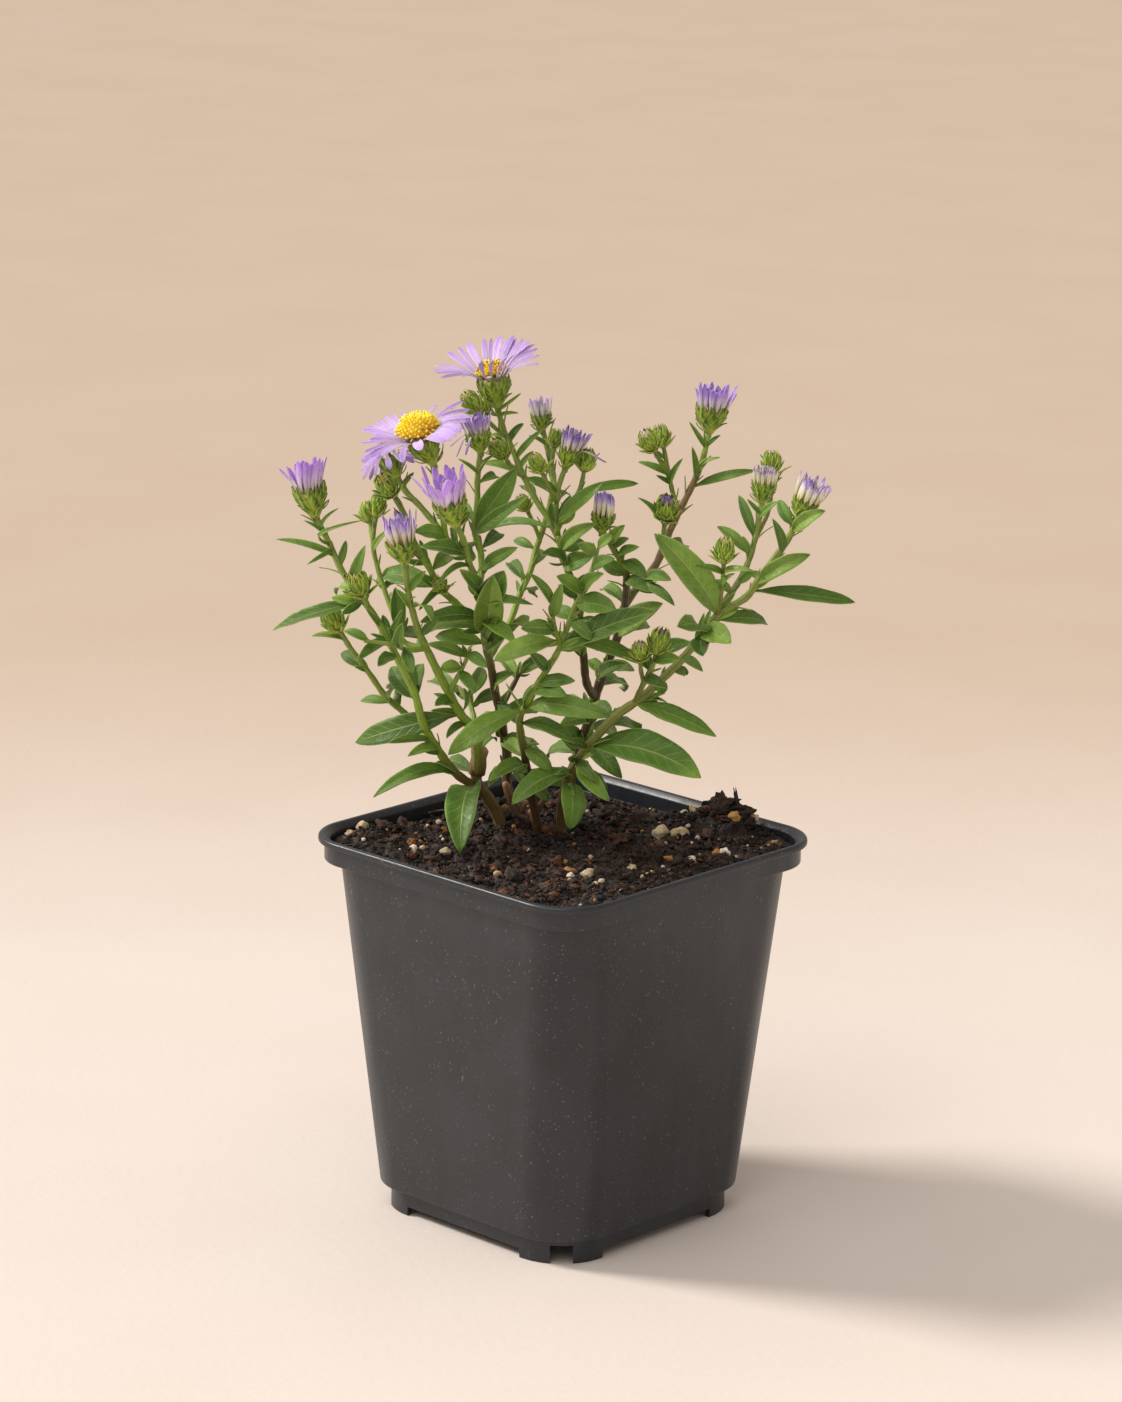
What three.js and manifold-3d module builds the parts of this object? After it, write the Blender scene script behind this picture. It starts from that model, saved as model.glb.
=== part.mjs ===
// Potted aster in a square nursery pot.
// Millimetres, +Z up. Origin: centre of the pot's footprint, on the surface it stands on.
import * as THREE from 'three';
import { mergeVertices } from 'three/addons/utils/BufferGeometryUtils.js';
import Module from 'manifold-3d';

const wasm = await Module();
wasm.setup();

// Pot
const POT_HEIGHT = 113.95;
const LIP_HALF = 55;
const LIP_HEIGHT = 2;
const LIP_CORNER = 16.2;
const BAND_HALF = 53.2;
const BAND_BOTTOM = 106.4;
const BODY_TOP_HALF = 50.6;
const BODY_FOOT_HALF = 42.1;
const FOOT_HALF = 39.9;
const FOOT_HEIGHT = 7.7;
const WALL = 1.4;
const FLOOR_UNDERSIDE = 3.2;
const FLOOR_THICKNESS = 1.5;
const CORNER_STEPS = 3;
const FOOT_NOTCH_HALF = 22.9;
const FOOT_NOTCH_HEIGHT = 2.8;
const DRAIN_WIDTH = 6.7;
const DRAIN_HEIGHT = 5.6;
const DRAIN_DEPTH = 11;
const GAP = 0.35;

// Soil
const SOIL_EDGE_Z = 106.6;
const SOIL_RELIEF = 0.8;
const SOIL_RISES = [
  { at: [-9, -21], rise: 4.4, spread: 26 },
  { at: [37, -15], rise: 4, spread: 19 },
];
const STEM_HOLE_FLOOR = 97;
const STEM_ROOT_Z = 98;
const STEM_HOLE_TOP = 119;
const MOUND = { at: [45.5, -13], radii: [8, 7, 13.5] };

// Plant
const STEM_SIDES = 5;
const STEM_STEP = 13;
const BLADE_THICKNESS = 0.8;
const STALK_WIDTH = 0.7;
const CUP_SIDES = 10;
const BUD_SIDES = 8;
const DISC_SIDES = 10;
const RAY_LAYER_STEP = 0.95;
const PLATE_SHARE = 0.81;
const PLATE_THICKNESS = 1.2;
const LEAF_FACE = 52;
const LEAF_ARCH = 0.12;
const RAY_THICKNESS = 0.7;

// The plant was measured from one eye point. A place on it is written as seen from there:
// across and up on the upright plane through the pot's axis, then its depth toward the eye.
const EYE = new THREE.Vector3(956.1, -1009.5, 534.7);
const VIEW_TURN = THREE.MathUtils.degToRad(43.4426);
const ACROSS = new THREE.Vector3(Math.cos(VIEW_TURN), Math.sin(VIEW_TURN), 0);
const TOWARD = new THREE.Vector3(Math.sin(VIEW_TURN), -Math.cos(VIEW_TURN), 0);
const UP = new THREE.Vector3(0, 0, 1);

// Stems by plant: route points [across, up, toward], then the radius at both ends.
// A rooted stem starts in the soil; the others branch from the first point.
const PLANTS = {
  left: {
    stems: [
      { rooted: true, radii: [1.9, 0.75], route: [[-18.5, 117.5, -20], [-22, 124.5, -18],
        [-25.2, 129, -16], [-25, 134, -13], [-25, 139, -10], [-26.3, 144.4, -7], [-30.5, 150, -3],
        [-34.7, 158, 1], [-38.9, 166.4, 5], [-42.8, 175.3, 9], [-45.7, 187, 12], [-46.5, 194.5, 13]] },
      { radii: [1.3, 0.8], route: [[-24.8, 126.8, -17], [-31, 131.6, -12], [-37, 139.6, -5],
        [-41, 147, 0], [-43.5, 156, 3], [-47.9, 165, 4], [-53.2, 175.4, 4], [-57.7, 182.2, 4],
        [-64.3, 191.4, 2], [-68.3, 200, 0], [-72.2, 208, -1]] },
      { radii: [1, 0.7], route: [[-38.5, 142.5, -4], [-43, 146.5, -13], [-46.4, 149.8, -15],
        [-51.9, 154.8, -13], [-56, 160.7, -10], [-61.8, 168.6, -6], [-66.7, 176.8, -4]], bud: 3.2 },
      { radii: [0.8, 0.6], route: [[-40.2, 169, 6.5], [-46.6, 171, 0], [-49.5, 178.7, -6],
        [-52, 185.5, -10], [-54.3, 193, -13], [-55.6, 199.7, -14], [-54.3, 210.6, -15]], bud: 2.5 },
      { radii: [0.6, 0.6], route: [[-55.3, 201, -14], [-56.9, 208.5, -19]], bud: 2.4 },
      { radii: [0.8, 0.5], route: [[-40, 168.5, 6], [-45, 168.5, 12], [-50, 170, 16], [-58, 171, 18]] },
      { radii: [0.8, 0.5], route: [[-33.5, 156, 0.3], [-31, 161, 8], [-29, 165, 12], [-27.5, 169, 14]] },
      { radii: [0.9, 0.6], route: [[-26.3, 144, -7.5], [-27, 151.5, -16], [-30.5, 157.5, -22]] },
      { radii: [0.8, 0.7], route: [[-56.6, 180.8, 4], [-58, 183.6, 7], [-59.5, 187.2, 9]], bud: 3.3 },
    ],
    leaves: [
      [-25.6, 126, -30.8, 107.7, 14, 9.5, 35, 0.2],
      [-30.4, 149.5, -60.4, 140.1, -19, 6.5, 45, 0.15],
      [-35.8, 138, -45.3, 136.7, 6, 3.5],
      [-31.5, 132.2, -55.2, 124.2, 0, 4.5, 55, 0.24],
      [-33, 153, -37.5, 152, 6, 4],
      [-58.6, 183, -84.2, 173.7, 0, 4.4, 45, 0.12],
      [-57, 162, -64.6, 167.2, -16, 4],
      [-43, 154, -50, 163.4, -9, 5.5, 60],
      [-43, 154, -41.5, 164.3, -12, 5, 60],
      [-48.5, 166, -54, 163.5, 12, 4],
      [-47.5, 174, -49.2, 187, -3, 4.5, 60],
      [-61, 187, -57.8, 199.3, 12, 3.6, 60],
      [-51, 170.2, -60, 165, 22, 3.5],
      [-48, 169, -47, 176.5, 21, 3.5, 60],
      [-46, 168.7, -44, 161.5, 20, 3.5, 60],
      [-30, 163, -36, 163, 12, 4],
      [-28.5, 166, -40, 170.4, 18, 3.5],
      [-28, 168, -22.6, 163.6, 20, 3.5],
      [-30.5, 162, -25.7, 156, 16, 3.5],
      [-27.2, 152, -20, 154.8, -30, 4],
      [-30, 156.5, -38, 159, -38, 5],
      [-28.5, 154.5, -24, 163.5, -33, 4.5],
      [-25, 137, -19.6, 141.5, -30, 3.6],
      [-25.4, 131, -34, 134, -36, 5],
      [-43.5, 157, -48, 150, -30, 5],
      [-51, 171.5, -44, 168, -24, 4.5],
      [-52.3, 187, -45.5, 190, -34, 4.5],
      [-58, 183, -66, 184.5, -14, 3.4],
      [-44, 180.5, -38.5, 177, 26, 4],
    ],
  },
  centre_left: {
    stems: [
      { rooted: true, radii: [1.5, 0.8], route: [[-13, 118, -22], [-16.3, 128, -26], [-16.5, 136, -27],
        [-18.8, 150, -22], [-20.4, 157.3, -17], [-21.4, 163.4, -12], [-23, 169.8, -7], [-24, 177, -2],
        [-25, 183.8, 2], [-26.6, 190.8, 7], [-28.3, 195, 11], [-30, 201.8, 18], [-32.2, 206, 23]] },
      { radii: [0.9, 0.8], route: [[-28.8, 196.3, 11.5], [-33.2, 200, 6], [-37.6, 205.5, 2],
        [-42.2, 211, -1], [-46.5, 215.5, -4], [-48.8, 219.5, -6]] },
      { radii: [0.8, 0.9], route: [[-35, 202.3, 4], [-36, 209, 7], [-37.3, 217, 7], [-38.8, 224, 8]] },
      { radii: [0.9, 0.8], route: [[-25.3, 186, 4], [-24.6, 191, 0], [-25, 199, -4], [-26.7, 204, -6],
        [-25.9, 213, -8], [-26, 218.3, -9], [-25.2, 227.3, -9]] },
      { radii: [1, 0.8], route: [[-24, 177, -2], [-28.7, 180, -3], [-32.8, 183.5, -3], [-37, 187.5, -2],
        [-39, 192, 0], [-43.8, 200, 0], [-45.5, 205, 1], [-48, 211, 4], [-51.5, 216.5, 9]], bud: 3 },
      { radii: [0.9, 0.8], route: [[-22, 166, -10], [-20, 170, -14], [-16.2, 177, -20], [-13.2, 186, -27],
        [-10.5, 192.3, -33], [-9, 198.6, -37], [-7, 205, -38], [-5.2, 212, -38], [-4.2, 219, -38],
        [-5.5, 226, -38], [-7.6, 234, -38]] },
      { radii: [0.6, 0.6], route: [[-8, 202.5, -37.7], [-9.6, 206, -36], [-12.6, 212, -34]], bud: 2 },
      { radii: [0.9, 0.6], route: [[-18.8, 151, -22], [-16, 156.5, -26], [-12.7, 163, -28]] },
      { radii: [0.6, 0.6], route: [[-33, 183.6, -3], [-36.3, 187.8, 4]], bud: 2 },
    ],
    leaves: [
      [-37, 186.8, -53.2, 190.6, -14, 6.5, 58],
      [-26.2, 205, -15, 222.4, -4, 7, 62, 0.06],
      [-25.5, 202.5, -11.3, 214.5, 6, 4.2, 62],
      [-34.4, 201.3, -43.9, 203.5, 10, 5, 50],
      [-28.8, 196.5, -42, 199, 21, 5, 45],
      [-24, 191.7, -14.2, 199.3, 6, 4],
      [-24, 182.4, -18, 192.4, 8, 8, 65],
      [-25.6, 184.5, -30.7, 192.5, 14, 4.4, 60],
      [-24, 177, -42, 176.8, 8, 5, 48],
      [-24, 174.7, -39, 174, -14, 4],
      [-23.2, 171, -37.6, 172.5, -10, 5, 55],
      [-22, 168.2, -13.5, 176.5, 5, 5, 60],
      [-23.8, 178, -14.5, 171, 12, 5, 55],
      [-20, 157, -14.5, 162, -6, 4.5],
      [-18.9, 150.5, -8.5, 151, -34, 5],
      [-17.8, 145, -24, 149.5, -36, 5],
      [-16.6, 137, -7.5, 141, -38, 4.5],
      [-16.5, 133, -21.9, 127.8, -10, 4],
      [-13.5, 161.5, -6.5, 165.5, -34, 4.5],
      [-14, 160, -19, 165.5, -38, 4.5],
      [-13.3, 186, -8.5, 184.5, -42, 4],
      [-12, 189.5, -16.5, 194.5, -44, 4],
      [-16.5, 176.8, -11, 174, -34, 5],
      [-10.4, 193, -5, 197.5, -46, 4.5],
      [-39, 191, -33.5, 196.5, -14, 4.4],
      [-41, 195, -46.5, 198, -18, 4],
      [-25, 199, -19.5, 203, -20, 4],
      [-26.3, 207, -32, 211, -20, 4],
      [-32.5, 199.3, -27, 195, -12, 4],
      [-19.3, 153, -12, 146, -10, 3.5],
    ],
  },
  centre: {
    stems: [
      { rooted: true, radii: [1.4, 0.6], route: [[-7.5, 116.2, -16], [-9.5, 126, -12], [-11.5, 138, -4],
        [-13, 148.6, 3], [-10.5, 153.6, 8], [-7.6, 159.5, 10], [-3.8, 165.8, 12], [-1.9, 169.5, 13],
        [0.7, 176.8, 13], [2.5, 182.4, 12], [5.6, 187.8, 10], [7.5, 194.3, 7], [8.6, 199, 4]] },
      { radii: [0.7, 0.5], route: [[-1.6, 170.5, 13], [-3.6, 177, 17], [-4, 183, 19]] },
    ],
    leaves: [
      [-11, 132, -15, 121.5, 4, 6.5, 45, 0.2],
      [-9.6, 127, -1, 114.7, 6, 7, 35, 0.25],
      [-12.5, 146, -34, 136.5, 10, 6, 50, 0.1],
      [-12.7, 147, 3, 141.3, 12, 5, 50],
      [-12.8, 149.5, -5.9, 137.5, 14, 5, 50],
      [-11.5, 152, 13, 149.3, 18, 6.5, 52, 0.15],
      [-9.5, 156, 0.5, 155.5, 20, 5],
      [-7.6, 159.5, 2.8, 160, 17, 4.4],
      [-3.8, 166, -20.7, 165.6, 19, 5.5, 50],
      [-2.2, 169.5, 25.2, 177.3, 22, 7, 52, 0.05],
      [-1, 171.5, 21.7, 165.4, 5, 4.5, 48],
      [-3.2, 175.5, -13, 175.4, 22, 5],
      [-3.9, 179, -1.5, 189, 22, 3.4, 60],
      [2.5, 182.4, 14.2, 181.5, 18, 6.5, 58],
      [5.4, 187.5, 10.5, 192, 18, 4.4, 60],
      [4.5, 186, -3, 191, 16, 4.4],
      [7.2, 193, 13.6, 196.4, 12, 4],
      [8, 197, 3, 200.5, 8, 3.6],
      [1, 177.5, 7.5, 172, 20, 4],
      [-5.6, 163, -10.5, 168.5, 19, 3.6],
    ],
  },
  right: {
    stems: [
      { rooted: true, radii: [1.8, 0.8], route: [[-1, 118.3, -23], [2, 131, -25], [5.8, 143.7, -27],
        [8.5, 155, -28], [11.9, 165, -29], [15.2, 174.7, -30], [16.5, 182, -30], [19.8, 187.5, -31],
        [23.9, 192.4, -32], [26, 196, -32], [28.5, 203, -33], [31.2, 209.4, -33], [35, 217.5, -34],
        [38, 225.5, -34], [39.7, 234.2, -35]] },
      { radii: [1.2, 0.9], route: [[8.4, 154.6, -28], [6.2, 159, -23], [5, 168, -17], [4, 178, -14],
        [2.5, 186.5, -13], [-0.5, 194.6, -13], [-2.8, 203, -14]] },
      { radii: [0.9, 0.8], route: [[-2.4, 201.7, -13.8], [-5.4, 207.6, -16], [-9.2, 213.3, -19],
        [-13.1, 221, -22], [-16, 227.8, -24], [-18.6, 233.5, -25], [-20.6, 240.8, -25]] },
      { radii: [0.8, 0.7], route: [[-2.6, 202.5, -14], [-3.3, 209, -14], [-3.2, 214, -14],
        [-2.4, 218.5, -15], [-0.8, 223.2, -16]] },
      { radii: [1.1, 0.8], route: [[16.6, 183, -30], [17.1, 189, -24], [16.6, 193.5, -19],
        [14.1, 197.7, -15], [9.8, 204.5, -12]] },
      { radii: [0.7, 0.6], route: [[31.7, 210.6, -33], [29.6, 216.5, -30], [28.4, 222, -28],
        [26.3, 232, -28]], bud: 2.5 },
      { radii: [0.6, 0.6], route: [[28.5, 221.6, -28], [25.8, 225.5, -25], [22.9, 230.6, -22]], bud: 2.6 },
      { radii: [0.7, 0.7], route: [[27.6, 200.6, -32.6], [27.5, 204.5, -26], [28, 211, -21]], bud: 3.3 },
      { radii: [0.6, 0.6], route: [[-3.2, 213, -14], [-5.5, 217, -11], [-8.7, 223.6, -9]], bud: 2.3 },
      { radii: [0.6, 0.6], route: [[-2.9, 216.3, -14.5], [-4.8, 222, -20], [-4, 231, -23]], bud: 2 },
      { radii: [0.7, 0.6], route: [[-2.8, 204.5, -14], [0.5, 211.5, -16], [3.4, 217, -18],
        [4.8, 224.8, -20]], bud: 2.7 },
      { radii: [0.6, 0.6], route: [[-18, 232, -24.8], [-21.5, 234.5, -20], [-27.3, 241, -17]], bud: 2.8 },
      { radii: [0.6, 0.6], route: [[-12.4, 219.5, -21.5], [-15.6, 222, -17], [-19.6, 227.6, -14]],
        bud: 2.8 },
    ],
    leaves: [
      [5.5, 143, 16.8, 131, -12, 6, 50],
      [3.2, 135.7, 12.2, 125.7, -34, 5],
      [8.2, 154, 14, 149.5, -16, 3.5],
      [11.8, 164.5, 19.8, 163.3, -20, 4],
      [10.5, 161, 6.4, 166.2, -36, 4],
      [5, 168, -4.6, 174, -8, 4.4],
      [4, 178, 12.5, 172.4, -8, 5],
      [4, 177, -5, 180.5, -22, 4.5],
      [2.5, 186.5, 9.5, 192, -6, 4.5, 60],
      [0, 193.4, 7.3, 197, -4, 5.5, 60],
      [-0.5, 194.6, -7.5, 197.4, -6, 4],
      [-1.8, 199, 8, 206.6, -6, 4.5, 58],
      [-1.6, 198, 4.5, 201.5, -20, 5],
      [-2.8, 206, 9.9, 218.9, -6, 4.4, 60],
      [16.8, 191.5, 9.8, 195.6, -22, 4.4],
      [15.8, 195.2, 22.8, 190.9, -10, 4.4],
      [12, 201, 16.3, 206.4, -7, 3.4],
      [22, 190.2, 29.8, 190.3, -24, 4],
      [19.8, 187.5, 31, 182.8, -22, 3.4],
      [15.2, 174.7, 23.5, 177, -42, 5],
      [14, 171, 6.5, 174, -44, 5],
      [9.5, 158, 17, 157, -44, 5],
      [7.5, 151, -1, 153.5, -40, 5],
      [6.2, 145.5, 14.5, 143, -44, 5.5],
      [4, 138, -4.5, 137, -42, 5],
      [16.6, 183, 10, 187, -44, 4.4],
      [21.5, 189.5, 16.4, 194.5, -45, 4.4],
      [27, 198.6, 33.5, 199.4, -46, 4],
      [17, 190, 23.8, 186.6, -8, 4],
    ],
  },
  front_right: {
    stems: [
      { rooted: true, radii: [1.5, 0.9], route: [[3.2, 115.6, -12], [4.4, 126, -7], [6.8, 138.7, -1],
        [10.5, 144.6, 2], [15.6, 150.4, 4], [21.4, 154.8, 5], [27.5, 160.6, 6], [33.2, 166.7, 6],
        [38.3, 173.2, 5], [43.8, 180.5, 3], [51.7, 185.8, 3], [55.2, 191.2, 4], [58.9, 196.6, 4],
        [62.5, 202, 4], [66, 209.3, 4]] },
      { radii: [0.9, 0.8], route: [[43, 179.4, 3.2], [45.8, 184.8, -2], [49, 189.8, -6],
        [51.7, 195.7, -9], [53.3, 201.6, -11], [54.5, 208.4, -13], [55.3, 213.7, -14]] },
      { radii: [0.7, 0.6], route: [[43.4, 180, 3], [44.4, 187.8, 7], [44.9, 198.8, 9]], bud: 2.8 },
      { radii: [0.6, 0.6], route: [[53.6, 203, -11.4], [57.4, 212, -20], [57.7, 224.4, -23]], bud: 2.8 },
      { radii: [0.8, 0.7], route: [[19.5, 153.5, 4.7], [22.4, 159.5, 10], [25, 165, 13],
        [26.8, 171.6, 14]], bud: 2.8 },
      { radii: [0.6, 0.6], route: [[22.4, 159.5, 10], [21.6, 164, 14], [21.3, 168.6, 16]], bud: 2.2 },
    ],
    leaves: [
      [43, 179.6, 24.7, 204, 10, 8.5, 62, 0.12],
      [53, 187.4, 82.7, 184.6, 0, 4.8, 45, 0.06],
      [42.6, 179, 57.6, 177.6, -6, 4.8, 50, 0.2],
      [39.4, 174.7, 31.9, 176.1, 20, 8.5, 55, 0.1],
      [37, 171.4, 27, 166.5, -8, 5.5],
      [20.2, 154, 43.8, 144, 12, 6, 50, 0.1],
      [21, 154.6, 26.3, 151.3, -4, 3.5],
      [7.4, 140, 39.7, 131.5, 14, 11, 48, 0.1],
      [5.6, 134, 13.2, 124, 12, 5, 50],
      [64, 205, 73.4, 211.4, 10, 4.4, 60],
      [54, 189.3, 69.5, 198.5, 8, 4.8, 58],
      [52.3, 198.5, 42.7, 206.3, -14, 3.4, 60],
      [64.8, 207, 60.3, 214.4, -2, 3.4, 60],
      [24, 163.4, 20, 170.4, 6, 4.4, 60],
      [25.3, 166, 33, 167, 20, 4],
      [23, 161, 29, 158.3, 18, 3.6],
      [27.5, 160.6, 34.5, 158, -6, 4.4],
      [14, 148.5, 8.5, 153, -6, 4.4],
      [12, 146.4, 21.5, 141.2, -14, 5],
      [38.3, 173.2, 44, 168.6, -10, 4],
    ],
  },
};

// Flower heads: stem end, middle of the cup's rim, cup radius, then the rays: how many, their
// length, width, the angle they rise above the rim, and how much that leans right and back.
const HEADS = {
  top_left: { base: [-20.6, 240.8, -25], rim: [-21.8, 248, -25], cup: 4.8, disc: 4.2,
    rays: 20, length: 15, width: 2.6, rise: 30, leanRight: 9, leanBack: -4 },
  open_left: { base: [-38.8, 224, 8], rim: [-41.9, 230.5, 9.3], cup: 4.8, disc: 5.2,
    rays: 20, length: 15, width: 3, rise: 9, leanRight: -12, leanBack: -12 },
  faded_left: { base: [-48.8, 219.5, -6], rim: [-51.2, 225.2, -8], cup: 3.6, disc: 3.4,
    rays: 12, length: 9, width: 2.4, rise: -48, leanRight: 0, leanBack: 0 },
  far_left: { base: [-72.2, 208, -1], rim: [-74, 216.2, -0.6], cup: 5,
    rays: 10, length: 9.5, width: 3, rise: 77, leanRight: 3, leanBack: 0 },
  middle_left: { base: [-32.2, 206, 23], rim: [-34, 213, 25], cup: 5,
    rays: 12, length: 10.5, width: 3, rise: 62, leanRight: 12, leanBack: 6 },
  small_left: { base: [-46.5, 194.5, 13], rim: [-47.7, 201.9, 13.5], cup: 4.3,
    rays: 10, length: 7.5, width: 2.6, rise: 82, leanRight: 0, leanBack: 0 },
  ragged: { base: [-25.2, 227.3, -9], rim: [-26, 232.8, -9], cup: 3.6,
    rays: 9, length: 4.4, width: 2.2, rise: 76, leanRight: 0, leanBack: 0 },
  pale: { base: [-7.6, 234, -38], rim: [-8.2, 239, -38], cup: 3.2,
    rays: 8, length: 5, width: 2.2, rise: 82, leanRight: 0, leanBack: 0 },
  deep_violet: { base: [-0.8, 223.2, -16], rim: [0.6, 229, -16.4], cup: 3.4,
    rays: 8, length: 6, width: 2.4, rise: 76, leanRight: 0, leanBack: 0 },
  egg: { base: [9.8, 204.5, -12], rim: [10.2, 210, -12], cup: 3.4,
    rays: 8, length: 6.6, width: 2.6, rise: 92, leanRight: 0, leanBack: 0 },
  top_right: { base: [39.7, 234.2, -35], rim: [40.6, 241, -35], cup: 4.7,
    rays: 10, length: 7.2, width: 2.8, rise: 80, leanRight: 0, leanBack: 0 },
  right_inner: { base: [55.3, 213.7, -14], rim: [55.8, 220, -14], cup: 3.8,
    rays: 8, length: 4.4, width: 2.6, rise: 84, leanRight: 0, leanBack: 0 },
  far_right: { base: [66, 209.3, 4], rim: [68.3, 215.4, 4.6], cup: 4,
    rays: 8, length: 7.4, width: 2.7, rise: 84, leanRight: 0, leanBack: 0 },
};

// Pumice grains and bark lumps on the soil: [across, toward], radius, height above the soil.
const GRAINS = [
  [[38, -24], 2.2], [[34, -20], 1.5], [[28.5, -4], 2.4], [[34, -4], 2.6], [[56, -2], 1.5],
  [[-58, -6], 1.7], [[-45, 6], 1.7], [[-44, 14], 1.5], [[-37, -4], 1.4], [[-14, 12], 1.7],
  [[8, 22], 1.6], [[-2, 34], 1.7], [[20, 12], 1.5], [[-26, 18], 1.4], [[10, -44], 1.6],
  [[-24, -36], 1.5],
];
const LUMPS = [
  [[43, -16], 3.6], [[51, -6], 3.4], [[39, -6], 3.2], [[28, -28], 3.4], [[-40, -10], 3.6],
  [[-30, 4], 3.2], [[-16, 24], 3.6], [[16, 30], 3.6], [[-4, 42], 3.4], [[8, -46], 3.4],
];

const COLOURS = {
  pot: 0x2b2d2e,
  soil: 0x3a2a20,
  green: 0x5f8f35,
  ray: 0xb391dd,
  disc: 0xe9b82c,
};

function material(colour, roughness) {
  return new THREE.MeshStandardMaterial({ color: colour, roughness, metalness: 0 });
}

function seededRandom(seed) {
  let state = seed;
  return () => {
    state = (Math.imul(state, 1664525) + 1013904223) >>> 0;
    return state / 4294967296;
  };
}

function seen([across, up, toward]) {
  const onPlane = ACROSS.clone().multiplyScalar(across).setZ(up);
  return onPlane.lerp(EYE, toward / EYE.dot(TOWARD));
}

function onGround([across, toward], z) {
  return ACROSS.clone().multiplyScalar(across).addScaledVector(TOWARD, toward).setZ(z);
}

// A closed skin over a row of rings; it ends in flat caps, or in a point where tip is given.
function loft(rings, tip = null) {
  const sides = rings[0].length;
  const points = rings.flat();
  const faces = [];
  for (let ring = 0; ring + 1 < rings.length; ring += 1) {
    for (let side = 0; side < sides; side += 1) {
      const next = (side + 1) % sides;
      const a = ring * sides + side;
      const b = ring * sides + next;
      faces.push([a, b, b + sides], [a, b + sides, a + sides]);
    }
  }
  const last = (rings.length - 1) * sides;
  for (let side = 1; side + 1 < sides; side += 1) {
    faces.push([0, side + 1, side]);
    if (!tip) faces.push([last, last + side, last + side + 1]);
  }
  if (tip) {
    points.push(tip);
    for (let side = 0; side < sides; side += 1) {
      faces.push([last + side, last + ((side + 1) % sides), points.length - 1]);
    }
  }
  return meshGeometry(points, faces);
}

// Turns points and faces into a geometry whose faces look outward.
function meshGeometry(points, faces) {
  const volume = faces.reduce((sum, [a, b, c]) =>
    sum + points[a].dot(new THREE.Vector3().crossVectors(points[b], points[c])), 0);
  const order = volume < 0 ? faces.map(([a, b, c]) => [a, c, b]) : faces;
  const geometry = new THREE.BufferGeometry();
  geometry.setAttribute('position',
    new THREE.Float32BufferAttribute(points.flatMap((point) => point.toArray()), 3));
  geometry.setIndex(order.flat());
  return geometry;
}

function toSolid(geometry) {
  const bare = geometry.clone();
  bare.deleteAttribute('normal');
  bare.deleteAttribute('uv');
  const merged = mergeVertices(bare, 1e-4);
  return new wasm.Manifold(new wasm.Mesh({
    numProp: 3,
    vertProperties: new Float32Array(merged.attributes.position.array),
    triVerts: new Uint32Array(merged.index.array),
  }));
}

function fuse(geometries) {
  return geometries.map(toSolid).reduce((whole, piece) => whole.add(piece));
}

function toGeometry(solid) {
  const mesh = solid.getMesh();
  const geometry = new THREE.BufferGeometry();
  geometry.setAttribute('position', new THREE.Float32BufferAttribute(mesh.vertProperties, 3));
  geometry.setIndex(Array.from(mesh.triVerts));
  geometry.computeVertexNormals();
  return geometry;
}

function circleRing(centre, radius, xAxis, yAxis, sides) {
  return Array.from({ length: sides }, (_, side) => {
    const angle = (side / sides) * Math.PI * 2;
    return centre.clone()
      .addScaledVector(xAxis, radius * Math.cos(angle))
      .addScaledVector(yAxis, radius * Math.sin(angle));
  });
}

// Square with round corners
function squareRing(half, corner, z, steps = CORNER_STEPS) {
  const middle = half - corner;
  const ring = [];
  [[1, 1], [-1, 1], [-1, -1], [1, -1]].forEach(([x, y], quarter) => {
    for (let step = 0; step <= steps; step += 1) {
      const angle = (quarter + step / steps) * (Math.PI / 2);
      ring.push(new THREE.Vector3(
        x * middle + corner * Math.cos(angle), y * middle + corner * Math.sin(angle), z));
    }
  });
  return ring;
}

function box(width, depth, height, x, y, z, turn = 0) {
  const geometry = new THREE.BoxGeometry(width, depth, height);
  geometry.translate(x, y, z);
  geometry.rotateZ(turn);
  return geometry;
}

// Pot: one thin shell from the foot's inner edge, out and up to the lip, and down inside.
function potShell() {
  const innerFoot = FOOT_HALF - WALL;
  const floorTop = FLOOR_UNDERSIDE + FLOOR_THICKNESS;
  const lipBottom = POT_HEIGHT - LIP_HEIGHT;
  return loft([
    squareRing(innerFoot, 15.4, FLOOR_UNDERSIDE),
    squareRing(innerFoot, 15.4, 0),
    squareRing(FOOT_HALF - 0.6, 16.2, 0),
    squareRing(FOOT_HALF, 16.5, 0.8),
    squareRing(FOOT_HALF, 16.5, FOOT_HEIGHT - 0.8),
    squareRing(BODY_FOOT_HALF, 16.9, FOOT_HEIGHT),
    squareRing(BODY_TOP_HALF, 16.9, BAND_BOTTOM),
    squareRing(BAND_HALF - 0.6, 14.8, BAND_BOTTOM),
    squareRing(BAND_HALF, 14.4, BAND_BOTTOM + 0.8),
    squareRing(BAND_HALF, 14.4, lipBottom),
    squareRing(LIP_HALF - 0.3, LIP_CORNER - 0.3, lipBottom),
    squareRing(LIP_HALF, LIP_CORNER, lipBottom + 0.8),
    squareRing(LIP_HALF - 0.7, LIP_CORNER - 0.7, POT_HEIGHT),
    squareRing(LIP_HALF - 2, LIP_CORNER - 2, POT_HEIGHT),
    squareRing(BAND_HALF - WALL, 14, lipBottom),
    squareRing(BAND_HALF - WALL, 14, BAND_BOTTOM + 1.6),
    squareRing(BODY_TOP_HALF - WALL, 15.6, BAND_BOTTOM - 1.4),
    squareRing(BODY_FOOT_HALF - WALL, 15.6, FOOT_HEIGHT + 1.4),
    squareRing(innerFoot, 15.4, FOOT_HEIGHT),
    squareRing(innerFoot, 15.4, floorTop),
  ]);
}

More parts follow.
